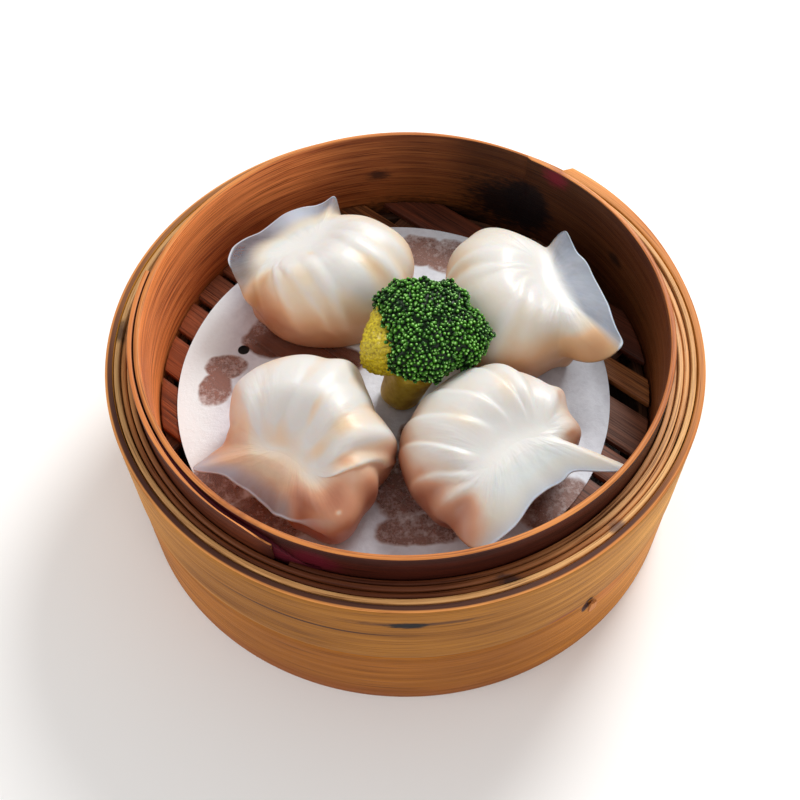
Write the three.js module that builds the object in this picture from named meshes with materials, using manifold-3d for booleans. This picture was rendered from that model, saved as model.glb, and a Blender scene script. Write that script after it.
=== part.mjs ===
// Har gow (steamed shrimp dumplings) in a small bamboo steamer basket, with a broccoli floret between them.
// Millimetres, +Z up, basket standing on z = 0 with its axis on the Z axis.
import * as THREE from 'three';
import { mergeVertices } from 'three/addons/utils/BufferGeometryUtils.js';
import Module from 'manifold-3d';

const wasm = await Module();
wasm.setup();

// ---- driving dimensions ----
const GAP = 0.3; // clearance between neighbouring pieces
const BASKET_R = 80; // outside of the wound bands
const LEDGE_Z = 56.1; // top of the outer bands, where the lid or the next basket sits
const HOOP_TOP = 64.6; // top of the tall inner hoop
const HOOP_R_IN = 69.3;
const HOOP_R_OUT = 70.9;
const SEAM_Z = 28.2; // the outside is wound from a lower and an upper strip
const LAP_FROM = 166; // degrees, where the hoop's second turn begins
const LAP_TO = 244; // degrees, where it is pared away to nothing
const LAP_R_OUT = 72.6;
const FOOT_RING_R = 66.4; // inner ring that carries the floor
const FOOT_RING_TOP = 32.5;
const BEAM_Z = FOOT_RING_TOP + GAP;
const BEAM_T = 2.2;
const BEAM_W = 9;
const SLAT_Z = BEAM_Z + BEAM_T + GAP;
const SLAT_T = 2.2;
const SLAT_ANGLE = -41; // degrees, direction of the floor slats
const FLOOR_R = HOOP_R_IN - 0.5;
const PAPER_Z = SLAT_Z + SLAT_T + GAP;
const PAPER_T = 0.3;
const PAPER_R = 60.4;
const PAPER_X = -3.3;
const PAPER_Y = -3.3;
const FOOD_Z = PAPER_Z + PAPER_T + GAP;
const RING_SEG = 66;

const rad = (deg) => deg * Math.PI / 180;
const smooth = (x, a, b) => {
  const t = Math.min(Math.max((x - a) / (b - a), 0), 1);
  return t * t * (3 - 2 * t);
};

function material(colour, roughness) {
  return new THREE.MeshStandardMaterial({ color: colour, roughness, metalness: 0 });
}
const CANE = material('#b9772f', 0.55);
const CANE_PALE = material('#c99552', 0.6);
const CANE_RED = material('#8a4a22', 0.6);
const CANE_SKIN = material('#6b4530', 0.5);
const CANE_DARK = material('#5a3a2c', 0.7);
const PAPER = material('#e4e6ea', 0.85);
const DOUGH = material('#f0e6dc', 0.3);
const GREEN = material('#2f7a22', 0.6);

const group = new THREE.Group();
group.name = 'har_gow_in_basket';
function piece(name, geometry, look) {
  const mesh = new THREE.Mesh(geometry, look.clone());
  mesh.name = name;
  group.add(mesh);
  return mesh;
}

// ---- bamboo strips ----
// A strip bent round the basket: radii as functions of the angle, extruded up from z0 to z1.
function strip(name, look, rIn, rOut, z0, z1, from = 0, to = 360) {
  const full = to - from >= 360;
  const n = Math.max(6, Math.round(RING_SEG * (to - from) / 360));
  const at = (r, k) => {
    const a = from + (to - from) * k / n;
    return new THREE.Vector2(r(a) * Math.cos(rad(a)), r(a) * Math.sin(rad(a)));
  };
  const outside = [];
  const inside = [];
  for (let k = 0; k < (full ? n : n + 1); k++) {
    outside.push(at(rOut, k));
    inside.push(at(rIn, k));
  }
  const shape = new THREE.Shape(full ? outside : outside.concat(inside.reverse()));
  if (full) {
    shape.holes.push(new THREE.Path(inside));
  }
  const geometry = new THREE.ExtrudeGeometry(shape, { depth: z1 - z0, bevelEnabled: false });
  const mesh = piece(name, geometry, look);
  mesh.position.z = z0;
  return mesh;
}
const round = (r) => () => r;

// The hoop is one long strip: its inner end leaves a shallow step that dies out round the wall.
const hoopInside = (a) => HOOP_R_IN + 0.55 * (1 - smooth((a - 58 + 360) % 360, 0, 40));
strip('inner_hoop', CANE, hoopInside, round(HOOP_R_OUT), 0.6, HOOP_TOP);
// Its outer end is pared thin, so a gap opens between the two turns before the strip runs out.
const lapInside = (a) => HOOP_R_OUT + GAP + 1.1 * smooth(a, LAP_FROM + 44, LAP_TO);
strip('hoop_lap', CANE, lapInside, round(LAP_R_OUT), 0.6, HOOP_TOP - 0.4, LAP_FROM, LAP_TO);
strip('foot_ring', CANE_DARK, round(FOOT_RING_R), round(HOOP_R_IN - GAP), 0, FOOT_RING_TOP);

// Wound plies between the hoop and the outer bands.
const PLIES = [
  { rIn: 71.25, rOut: 72.6, top: 54.9, look: CANE_RED, from: LAP_TO + 3, to: LAP_FROM + 357 },
  { rIn: 72.95, rOut: 74.25, top: 55.6, look: CANE_RED },
  { rIn: 74.6, rOut: 75.9, top: 55.2, look: CANE_RED },
  { rIn: 76.25, rOut: 77.65, top: 55.9, look: CANE_PALE },
];
PLIES.forEach((p, i) => {
  strip(`ply_${i + 1}`, p.look, round(p.rIn), round(p.rOut), 0.6, p.top, p.from ?? 0, p.to ?? 360);
});
// The outermost strip springs away a little where its end is, at the back right.
const spring = (a) => {
  const back = smooth(a, 8, 49) * (1 - smooth(a, 51, 52));
  const thin = smooth(a, 51, 52) * (1 - smooth(a, 70, 120));
  return BASKET_R + 1.9 * back - 0.6 * thin;
};
strip('upper_band', CANE, round(77.95), spring, SEAM_Z + GAP, LEDGE_Z);
strip('lower_band', CANE, round(77.95), round(BASKET_R - 0.2), 0, SEAM_Z);

// Flat bamboo pin driven through the wall over the seam, at the front right.
const PIN_AT = -54; // degrees
const pin = piece('wall_pin', new THREE.BoxGeometry(0.9, 2.4, 4.4), CANE_SKIN);
pin.position.set((BASKET_R + 0.65) * Math.cos(rad(PIN_AT)), (BASKET_R + 0.65) * Math.sin(rad(PIN_AT)), 25.6);
pin.rotation.z = rad(PIN_AT);

// ---- slatted floor ----
// Slats by the distance of their two long edges from the axis, measured across the slats.
const SLATS = [
  [47.6, 59.6], [36.5, 43.3], [19.4, 31.8], [8.2, 17.2], [-5.2, 6.2],
  [-17.4, -7.1], [-29.4, -19.3], [-42.1, -31.4], [-55.6, -44.1],
];
// A straight strip between two long edges, its ends rounded to the hoop.
function floorStrip(name, look, n0, n1, r, angle, z, t) {
  const outline = [];
  const steps = 4;
  for (const end of [1, -1]) {
    for (let k = 0; k <= steps; k++) {
      const n = end > 0 ? n0 + (n1 - n0) * k / steps : n1 + (n0 - n1) * k / steps;
      outline.push(new THREE.Vector2(end * Math.sqrt(r * r - n * n), n));
    }
  }
  const geometry = new THREE.ExtrudeGeometry(new THREE.Shape(outline), { depth: t, bevelEnabled: false });
  const mesh = piece(name, geometry, look);
  mesh.rotation.z = rad(angle);
  mesh.position.z = z;
}
SLATS.forEach(([n0, n1], i) => {
  floorStrip(`floor_slat_${i + 1}`, CANE_DARK, n0, n1, FLOOR_R, SLAT_ANGLE, SLAT_Z, SLAT_T);
});
[-37, 1, 38].forEach((at, i) => {
  const low = at - BEAM_W / 2;
  floorStrip(`floor_beam_${i + 1}`, CANE_DARK, low, low + BEAM_W, FLOOR_R, SLAT_ANGLE + 90, BEAM_Z, BEAM_T);
});

// ---- paper liner ----
const sheet = new THREE.Shape();
sheet.absarc(0, 0, PAPER_R, 0, Math.PI * 2, false);
const steamHole = new THREE.Path();
steamHole.absarc(-43, 13.2, 1.7, 0, Math.PI * 2, true);
sheet.holes.push(steamHole);
const sheetGeometry = new THREE.ExtrudeGeometry(sheet, { depth: PAPER_T, bevelEnabled: false, curveSegments: 40 });
piece('paper_liner', sheetGeometry, PAPER).position.set(PAPER_X, PAPER_Y, PAPER_Z);

// ---- dumplings ----
// One dumpling is a closed skin round a folded disc of dough. Seen from above it is drawn in rays
// that start on a short gathered fold line: rays towards the basket wall (angle 0) make the flat
// sealed fin, all other rays climb over the pleated dome and run down to the foot.
const COLS = 56;
const TOP_ROWS = 7;
const LOW_ROWS = 6;

function random(seed) {
  let s = seed;
  return () => {
    s = (s * 16807) % 2147483647;
    return s / 2147483647;
  };
}

// Ray angles in degrees, closer together near the two ears of the fin; the front half mirrors the fin half.
function rayAngles(d) {
  const dens = (g) => 1 + 2.2 * Math.exp(-(((g + d.ear1) / 12) ** 2)) + 2.2 * Math.exp(-(((g - d.ear2) / 12) ** 2));
  const table = [0];
  for (let g = -90; g < 90; g += 0.25) {
    table.push(table[table.length - 1] + dens(g + 0.125));
  }
  const total = table[table.length - 1];
  const half = [];
  for (let i = 0; i < COLS / 2; i++) {
    const want = (i + 0.5) / (COLS / 2) * total;
    const k = table.findIndex((v) => v >= want);
    half.push(-90 + 0.25 * (k - (table[k] - want) / (table[k] - table[k - 1])));
  }
  return half.concat(half.map((g) => 180 - g).reverse());
}

// Distance from a point inside an ellipse to the ellipse, along a direction.
function reach(x, y, ca, sa, a, b) {
  const qa = (ca / a) ** 2 + (sa / b) ** 2;
  const qb = 2 * (x * ca / a ** 2 + y * sa / b ** 2);
  const qc = (x / a) ** 2 + (y / b) ** 2 - 1;
  return (-qb + Math.sqrt(qb * qb - 4 * qa * qc)) / (2 * qa);
}

function dumpling(name, d) {
  const next = random(d.seed);
  const widths = [];
  for (let i = 0; i < d.pleats; i++) {
    widths.push({ width: 0.7 + 0.6 * next(), rise: 0.75 + 0.5 * next() });
  }
  const sum = widths.reduce((s, w) => s + w.width, 0);
  const pleat = (angle) => {
    let u = (angle - d.pleatFrom) / (d.pleatTo - d.pleatFrom) * sum;
    if (u <= 0 || u >= sum) {
      return 0;
    }
    for (const w of widths) {
      if (u < w.width) {
        return w.rise * Math.sin(Math.PI * (u / w.width) ** d.skew) ** 0.75;
      }
      u -= w.width;
    }
    return 0;
  };
  const yaw = rad(d.yaw);
  const points = [];
  const rows = TOP_ROWS + 1 + LOW_ROWS;
  for (const angle of rayAngles(d)) {
    const ca = Math.cos(rad(angle));
    const sa = Math.sin(rad(angle));
    const left = sa < 0;
    const b = left ? d.b1 : d.b2;
    const ear = left ? d.ear1 : d.ear2;
    const ox = d.foldX + d.foldBow * sa * sa;
    const oy = d.foldHalf * sa;
    let wave = 1;
    d.wave.forEach(([c, s], q) => {
      wave += c * Math.cos((q + 1) * (rad(angle) - Math.PI)) + s * Math.sin((q + 1) * (rad(angle) - Math.PI));
    });
    const belly = reach(ox, oy, ca, sa, d.a, b) * wave;
    const foot = reach(ox, oy, ca, sa, d.a * d.foot, b * d.foot) * wave;
    const out = Math.abs(angle > 180 ? angle - 360 : angle);
    const fin = 1 - smooth(out, ear - 5, ear + (left ? d.web1 : d.web2));
    const t = Math.min(out / ear, 1);
    const edge = d.fin + ((left ? d.len1 : d.len2) - d.fin) * t ** d.sweep;
    const edgeZ = d.finZ + ((left ? d.earZ1 : d.earZ2) - d.finZ) * t * t;
    const dome = (r) => {
      const q = Math.hypot((ox + r / wave * ca) / d.a, (oy + r / wave * sa) / b);
      return d.bellyZ + (d.height - d.bellyZ) * Math.sqrt(Math.max(1 - Math.min(q, 1) ** 2.3, 0));
    };
    const finZ = (r) => d.foldZ + (edgeZ - d.foldZ) * Math.min(Math.max(r / edge, 0), 1) ** 1.4;
    const dip = dome(0) - d.foldZ;
    const wall = Math.min(belly, 0.85 * edge);
    const wallFoot = Math.min(foot, 0.9 * wall);
    const wallZ = Math.min(d.bellyZ, 0.5 * finZ(wall));
    const tuck = 0.5 * wall;
    for (let j = 0; j < rows; j++) {
      let domeR;
      let domeZ;
      let finR;
      let finH;
      let along;
      if (j <= TOP_ROWS) {
        const k = j / TOP_ROWS;
        along = Math.sin(k * Math.PI / 2);
        domeR = belly * along;
        domeZ = dome(domeR) - dip * (1 - smooth(domeR, 0, d.foldReach));
        finR = edge * k;
        finH = finZ(finR);
      } else {
        const i = j - TOP_ROWS;
        const k = i / LOW_ROWS;
        along = 1 + k;
        domeR = foot + (belly - foot) * Math.cos(k * Math.PI / 2);
        domeZ = d.bellyZ * (1 - Math.sin(k * Math.PI / 2));
        if (i <= 2) {
          finR = edge + (tuck - edge) * (i - 1);
          finH = finZ(finR) - d.skin;
        } else if (i <= 4) {
          const w = (i - 2) / 2 * Math.PI / 2;
          finR = tuck + (wall - tuck) * Math.sin(w);
          finH = wallZ + (finZ(tuck) - d.skin - wallZ) * Math.cos(w);
        } else {
          const w = (i - 4) / 2 * Math.PI / 2;
          finR = wallFoot + (wall - wallFoot) * Math.cos(w);
          finH = wallZ * (1 - Math.sin(w));
        }
      }
      const r = domeR * (1 - fin) + finR * fin;
      let z = domeZ * (1 - fin) + finH * fin;
      let x = ox + r * ca;
      let y = oy + r * sa;
      const fade = smooth(along, 0.02, 0.3) * (1 - smooth(along, 1.1, 1.75)) * (1 - fin);
      const lift = d.pleatRise * pleat(angle < 0 ? angle + 360 : angle) * fade;
      const n = new THREE.Vector3(x / d.a ** 2, y / b ** 2, (z - d.bellyZ) / (d.height - d.bellyZ) ** 2).normalize();
      x += lift * n.x;
      y += lift * n.y;
      z = Math.max(z + lift * Math.max(n.z, -0.2), 0);
      points.push(new THREE.Vector3(x * Math.cos(yaw) - y * Math.sin(yaw), x * Math.sin(yaw) + y * Math.cos(yaw), z));
    }
  }
  // Rays i and COLS-1-i start from the same point of the fold line.
  const id = (i, j) => (j === 0 && i >= COLS / 2 ? COLS - 1 - i : i) * rows + j;
  const index = [];
  const tri = (p, q, s) => {
    if (p !== q && q !== s && s !== p) {
      index.push(p, q, s);
    }
  };
  const middle = points.length;
  points.push(new THREE.Vector3(0, 0, 0));
  for (let i = 0; i < COLS; i++) {
    const m = (i + 1) % COLS;
    for (let j = 0; j < rows - 1; j++) {
      tri(id(i, j), id(i, j + 1), id(m, j + 1));
      tri(id(i, j), id(m, j + 1), id(m, j));
    }
    tri(id(i, rows - 1), middle, id(m, rows - 1));
  }
  const used = [...new Set(index)].sort((p, q) => p - q);
  const renumber = new Map(used.map((v, i) => [v, i]));
  const geometry = new THREE.BufferGeometry();
  geometry.setAttribute('position', new THREE.Float32BufferAttribute(used.flatMap((v) => points[v].toArray()), 3));
  geometry.setIndex(index.map((v) => renumber.get(v)));
  geometry.computeVertexNormals();
  const mesh = piece(name, geometry, DOUGH);
  mesh.position.set(d.x, d.y, FOOD_Z);
  return mesh;
}

const COMMON = { bellyZ: 11, foot: 0.84, foldReach: 14, skin: 1.0, skew: 1 };
const DUMPLINGS = {
  dumpling_back_left: {
    x: -20.75, y: 24.34, yaw: 129.6, a: 21.06, b1: 24.24, b2: 22.3, height: 26.4,
    foldX: 8.74, foldZ: 20.2, foldHalf: 6.14, foldBow: 3.14,
    fin: 18.25, len1: 19.0, len2: 17.6, sweep: 6, ear1: 52.6, ear2: 62.4, finZ: 15, earZ1: 16.1, earZ2: 21,
    web1: 18.7, web2: 55, wave: [[-0.07, 0.04], [-0.02, 0.03], [-0.01, 0.03], [0.01, 0.02]],
    pleats: 7, pleatFrom: 82, pleatTo: 236, pleatRise: 1.3, seed: 11,
  },
  dumpling_back_right: {
    x: 28.54, y: 11.7, yaw: 14.2, a: 21.18, b1: 19.02, b2: 26.63, height: 28,
    foldX: 10.7, foldZ: 22.1, foldHalf: 6.03, foldBow: 2.9,
    fin: 15.7, len1: 21.5, len2: 19.5, sweep: 1.9, ear1: 56.4, ear2: 56.2, finZ: 16.9, earZ1: 17, earZ2: 16.7,
    web1: 55, web2: 19.3, wave: [[-0.05, -0.03], [-0.06, 0], [0.01, 0.02], [0, 0.02]],
    pleats: 9, pleatFrom: 100, pleatTo: 272, pleatRise: 1.0, seed: 23,
  },
  dumpling_front_left: {
    x: -23.43, y: -28.35, yaw: -122.7, a: 19.04, b1: 25.7, b2: 24.6, height: 28,
    foldX: 8.8, foldZ: 17.9, foldHalf: 6, foldBow: 4.1,
    fin: 13.9, len1: 20.8, len2: 24.3, sweep: 3.3, ear1: 46.8, ear2: 62.7, finZ: 12.4, earZ1: 15.4, earZ2: 18.1,
    web1: 53.2, web2: 54.9, wave: [[-0.06, 0.06], [0.04, 0.02], [0.04, 0.04], [0, 0.01]],
    pleats: 7, pleatFrom: 96, pleatTo: 250, pleatRise: 1.4, seed: 5,
  },
  dumpling_front_right: {
    x: 19.99, y: -28.45, yaw: -55.8, a: 20.16, b1: 23.18, b2: 24.58, height: 26.8,
    foldX: 9, foldZ: 21.9, foldHalf: 8.1, foldBow: 3.8,
    fin: 14.5, len1: 26, len2: 25.2, sweep: 1.6, ear1: 41.4, ear2: 41.7, finZ: 18.6, earZ1: 15.9, earZ2: 17,
    web1: 55, web2: 13.8, wave: [[-0.07, 0.08], [-0.04, 0], [0, 0], [0.02, -0.02]],
    pleats: 9, pleatFrom: 62, pleatTo: 256, pleatRise: 1.5, seed: 17,
  },
};
const dumplings = Object.entries(DUMPLINGS).map(([name, d]) => dumpling(name, { ...COMMON, ...d }));

// ---- broccoli floret ----
const CROWN = new THREE.Vector3(6.2, -5, 63);
const CUT_SIDE = new THREE.Vector3(-4.8, -4.6, 61);
const STEM_FOOT = new THREE.Vector3(-2, -7.6, FOOD_Z);

function toManifold(geometry) {
  const g = geometry.clone();
  g.deleteAttribute('normal');
  g.deleteAttribute('uv');
  const m = mergeVertices(g, 1e-4);
  return new wasm.Manifold(new wasm.Mesh({
    numProp: 3,
    vertProperties: new Float32Array(m.attributes.position.array),
    triVerts: new Uint32Array(m.index.array),
  }));
}
function fromManifold(solid) {
  const m = solid.getMesh();
  const g = new THREE.BufferGeometry();
  g.setAttribute('position', new THREE.BufferAttribute(new Float32Array(m.vertProperties), 3));
  g.setIndex(new THREE.BufferAttribute(new Uint32Array(m.triVerts), 1));
  g.computeVertexNormals();
  return g;
}

// The crown: a blunt angular cushion of bud clusters, hollowed a little underneath.
function crown() {
  const g = new THREE.SphereGeometry(1, 34, 19);
  g.rotateX(Math.PI / 2);
  const p = g.attributes.position;
  for (let i = 0; i < p.count; i++) {
    const v = new THREE.Vector3().fromBufferAttribute(p, i);
    const a = Math.atan2(v.y, v.x);
    const flat = Math.hypot(v.x, v.y);
    const corner = 1 + flat * (0.05 * Math.cos(3 * (a + 0.3)) + 0.05 * Math.cos(5 * (a + 0.3)));
    const knob = Math.sin(7 * a + 2.5 * v.z) * Math.sin(8 * v.z + 0.6) * flat * 0.035;
    const q = corner + knob;
    const z = v.z > 0 ? v.z * 11.5 * (1 - 0.12 * flat) : v.z * (3.5 - 2 * (1 - flat));
    p.setXYZ(i, v.x * 15.6 * q, v.y * 14.2 * q, z);
  }
  g.rotateX(rad(9));
  g.rotateY(rad(5));
  return toManifold(g).translate(CROWN.toArray());
}

// The bare flesh left where the floret was cut from its head: a blunt upright wedge beside the crown.
function cutSide() {
  const g = new THREE.SphereGeometry(1, 18, 12);
  const p = g.attributes.position;
  for (let i = 0; i < p.count; i++) {
    const v = new THREE.Vector3().fromBufferAttribute(p, i);
    const square = Math.max(Math.abs(v.x), Math.abs(v.y), Math.abs(v.z)) ** 0.5;
    p.setXYZ(i, v.x * 5.6 / square, v.y * 9.5 / square, v.z * 7.6 / square);
  }
  g.rotateZ(rad(-18));
  return toManifold(g).translate(CUT_SIDE.toArray());
}

// A round stalk from one point to another.
function stalk(from, to, r0, r1, sides) {
  const axis = to.clone().sub(from);
  const g = new THREE.CylinderGeometry(r1, r0, axis.length(), sides, 3);
  g.translate(0, axis.length() / 2, 0);
  g.applyQuaternion(new THREE.Quaternion().setFromUnitVectors(new THREE.Vector3(0, 1, 0), axis.normalize()));
  return toManifold(g).translate(from.toArray());
}
const fork = STEM_FOOT.clone().lerp(CROWN, 0.45);
const floor = toManifold(new THREE.BoxGeometry(60, 60, 20)).translate([0, 0, FOOD_Z - 10]);
let floret = crown().add(cutSide()).add(stalk(STEM_FOOT.clone().lerp(CROWN, -0.1), fork, 5.3, 5.9, 20));
for (const [dx, dy] of [[-9, 1], [1, -7], [8, -1], [0, 6]]) {
  const head = CROWN.clone().add(new THREE.Vector3(dx, dy, -0.5));
  floret = floret.add(stalk(fork.clone().lerp(STEM_FOOT, 0.25), head, 3.8, 4.6, 12));
}
floret = floret.subtract(floor);
// Its soft side is pressed flat where it leans on a dumpling.
for (const neighbour of dumplings) {
  const press = toManifold(neighbour.geometry).scale(1.025).translate(neighbour.position.toArray());
  floret = floret.subtract(press);
}
piece('broccoli_floret', fromManifold(floret), GREEN);

export default group;
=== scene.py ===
import math
import random

import bmesh
import bpy
import numpy as np
from mathutils import Matrix, Vector, noise


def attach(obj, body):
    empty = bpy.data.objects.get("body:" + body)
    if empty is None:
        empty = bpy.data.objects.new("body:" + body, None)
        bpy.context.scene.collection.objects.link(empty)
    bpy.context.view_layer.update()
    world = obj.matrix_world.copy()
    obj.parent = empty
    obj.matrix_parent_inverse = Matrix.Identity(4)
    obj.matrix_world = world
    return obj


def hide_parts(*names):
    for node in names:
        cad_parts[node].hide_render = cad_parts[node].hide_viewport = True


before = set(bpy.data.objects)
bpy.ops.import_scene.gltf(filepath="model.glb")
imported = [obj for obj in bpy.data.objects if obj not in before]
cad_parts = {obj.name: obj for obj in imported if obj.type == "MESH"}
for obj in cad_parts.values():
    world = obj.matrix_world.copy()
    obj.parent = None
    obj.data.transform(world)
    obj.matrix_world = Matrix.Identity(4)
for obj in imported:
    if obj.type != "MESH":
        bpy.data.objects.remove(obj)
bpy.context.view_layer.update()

MM = 0.001

# ---- table top, camera and studio light ----
# The basket stands on a plain white table and is seen from the diner's side, looking down. One large soft
# lamp hangs high behind it on the right, two weaker ones fill the shadows, and the white room does the rest.


def new_material(name):
    """An empty material, its node tree and its shader."""
    material = bpy.data.materials.new(name)
    material.use_nodes = True
    return material, material.node_tree, material.node_tree.nodes["Principled BSDF"]


bpy.ops.object.select_all(action="DESELECT")
bpy.ops.mesh.primitive_grid_add(x_subdivisions=4, y_subdivisions=4, size=6.0, location=(0, 0, -0.00002))
table_top = bpy.context.object
table_top.name = "table_top"
bpy.ops.object.transform_apply(location=True, rotation=False, scale=False)
white, tree, shader = new_material("white_table")
shader.inputs["Base Color"].default_value = (0.93, 0.93, 0.93, 1)
shader.inputs["Roughness"].default_value = 0.7
table_top.data.materials.append(white)

EYE_AT = Vector((-1.510, -180.682, 287.582))
EYE_DOWN = 55.403
scene = bpy.context.scene
scene.view_settings.view_transform = "Standard"
eye = bpy.data.cameras.new("eye")
eye.sensor_fit = "HORIZONTAL"
eye.sensor_width = 36.0
eye.lens = 49.02
eye.clip_start = 0.01
camera = bpy.data.objects.new("camera", eye)
scene.collection.objects.link(camera)
turned = Matrix.Rotation(math.radians(90 - EYE_DOWN), 4, "X") @ Matrix.Rotation(-0.0147, 4, "Z")
camera.matrix_world = Matrix.Translation(EYE_AT * MM) @ turned
scene.camera = camera

room = bpy.data.worlds.new("white_room")
scene.world = room
room.use_nodes = True
room.node_tree.nodes["Background"].inputs["Color"].default_value = (1.0, 0.99, 0.98, 1)
room.node_tree.nodes["Background"].inputs["Strength"].default_value = 0.56


def soft_lamp(name, at, aim, size, power, tint):
    lamp = bpy.data.lights.new(name, "AREA")
    lamp.shape = "DISK"
    lamp.size = size
    lamp.energy = power
    lamp.color = tint
    holder = bpy.data.objects.new(name, lamp)
    scene.collection.objects.link(holder)
    holder.location = at
    holder.rotation_euler = (Vector(aim) - Vector(at)).to_track_quat("-Z", "Y").to_euler()


soft_lamp("window", (0.34, 0.56, 0.62), (0, 0, 0.04), 0.36, 7.2, (1.0, 0.985, 0.96))
soft_lamp("left_fill", (-0.8, -0.25, 0.5), (0, 0, 0.03), 0.6, 2.3, (1.0, 0.99, 0.97))
soft_lamp("front_fill", (0.42, -0.95, 0.42), (0, 0, 0.03), 0.7, 2.6, (1.0, 0.99, 0.97))


# ---- inner hoop ----
# The tall hoop is one strip of split bamboo, 1.6 mm thick and 64 mm high, steamed, bent round and glued
# where its ends lap. Its inner end leaves a low upright step at the back right. Its inside is oiled by use,
# its back is raw. The back's very dark red-brown is partly painted shade for the narrow gap outside it, and
# the lining is painted darker as shade round the back and right.
HOOP_INNER, HOOP_OUTER, HOOP_TOP = 69.3, 70.9, 64.6
STRIP_FOOT = 0.6
HOOP_END = 58


def paint(r, g, b):
    """A colour as it looks, 0 to 255, as the shader wants it."""
    def linear(c):
        c = c / 255
        return c / 12.92 if c <= 0.04045 else ((c + 0.055) / 1.055) ** 2.4
    return (linear(r), linear(g), linear(b), 1.0)


def add(tree, kind, **settings):
    node = tree.nodes.new(kind)
    for key, value in settings.items():
        setattr(node, key, value)
    return node


def in_place(tree):
    return add(tree, "ShaderNodeTexCoord").outputs["Object"]


def on_map(tree, name):
    return add(tree, "ShaderNodeUVMap", uv_map=name).outputs["UV"]


def marked(tree, name):
    return add(tree, "ShaderNodeAttribute", attribute_name=name).outputs["Fac"]


def parts_of(tree, vector):
    node = add(tree, "ShaderNodeSeparateXYZ")
    tree.links.new(vector, node.inputs[0])
    return node.outputs


def grain(tree, source, stretch, detail=3.0, rough=0.55):
    """Noise with so many blotches to a metre along, across and through."""
    mapping = add(tree, "ShaderNodeMapping")
    mapping.inputs["Scale"].default_value = stretch
    blotches = add(tree, "ShaderNodeTexNoise")
    blotches.inputs["Scale"].default_value = 1.0
    blotches.inputs["Detail"].default_value = detail
    blotches.inputs["Roughness"].default_value = rough
    tree.links.new(source, mapping.inputs["Vector"])
    tree.links.new(mapping.outputs["Vector"], blotches.inputs["Vector"])
    return blotches.outputs["Fac"]


def ramp(tree, value, stops, smooth=False):
    node = add(tree, "ShaderNodeValToRGB")
    if smooth:
        node.color_ramp.interpolation = "EASE"
    while len(node.color_ramp.elements) < len(stops):
        node.color_ramp.elements.new(0.5)
    for element, (at, colour) in zip(node.color_ramp.elements, stops):
        element.position = at
        element.color = colour if len(colour) == 4 else (*colour, 1)
    tree.links.new(value, node.inputs["Fac"])
    return node.outputs["Color"]


def feed(tree, socket, value):
    if isinstance(value, (int, float, tuple)):
        socket.default_value = value
    else:
        tree.links.new(value, socket)


def blend(tree, factor, under, over, how="MIX"):
    node = add(tree, "ShaderNodeMix", data_type="RGBA", blend_type=how)
    feed(tree, node.inputs[0], factor)
    feed(tree, node.inputs[6], under)
    feed(tree, node.inputs[7], over)
    return node.outputs[2]


def reckon(tree, how, a, b=0.0):
    node = add(tree, "ShaderNodeMath", operation=how)
    feed(tree, node.inputs[0], a)
    feed(tree, node.inputs[1], b)
    return node.outputs[0]


def plus(tree, a, b):
    return reckon(tree, "ADD", a, b)


def times(tree, a, b):
    return reckon(tree, "MULTIPLY", a, b)


def between(tree, value, start, end, low=0.0, high=1.0, soft=True):
    """Goes from low to high while the value goes from start to end."""
    node = add(tree, "ShaderNodeMapRange", interpolation_type="SMOOTHSTEP" if soft else "LINEAR")
    feed(tree, node.inputs["Value"], value)
    feed(tree, node.inputs["From Min"], start)
    feed(tree, node.inputs["From Max"], end)
    feed(tree, node.inputs["To Min"], low)
    feed(tree, node.inputs["To Max"], high)
    return node.outputs["Result"]


def how_far(tree, place, centre, half):
    """The distance from a centre counted in half-sizes, so 1 on the edge. Two sizes leave height out."""
    mapping = add(tree, "ShaderNodeMapping")
    flat = [0.0] * (3 - len(half))
    mapping.inputs["Scale"].default_value = [1 / (s * MM) for s in half] + flat
    mapping.inputs["Location"].default_value = [-c / s for c, s in zip(centre, half)] + flat
    tree.links.new(place, mapping.inputs["Vector"])
    length = add(tree, "ShaderNodeVectorMath", operation="LENGTH")
    tree.links.new(mapping.outputs["Vector"], length.inputs[0])
    return length.outputs["Value"]


def roughen(tree, shader, height, strength, depth):
    """Fine relief that is seen in the light but too fine for the mesh."""
    bump = add(tree, "ShaderNodeBump")
    bump.inputs["Strength"].default_value = strength
    bump.inputs["Distance"].default_value = depth
    tree.links.new(height, bump.inputs["Height"])
    tree.links.new(bump.outputs["Normal"], shader.inputs["Normal"])


def along_strip(tree, uv, stops, radius, start):
    """A tone that changes along a strip: stops are the basket's angle in degrees and how light it is."""
    turn = times(tree, parts_of(tree, uv)[0], 1 / (2 * math.pi * radius * MM))
    tones = [((angle - start) % 360 / 360, v if isinstance(v, tuple) else (v, v, v)) for angle, v in stops]
    return ramp(tree, turn, sorted(tones), smooth=True)


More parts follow.
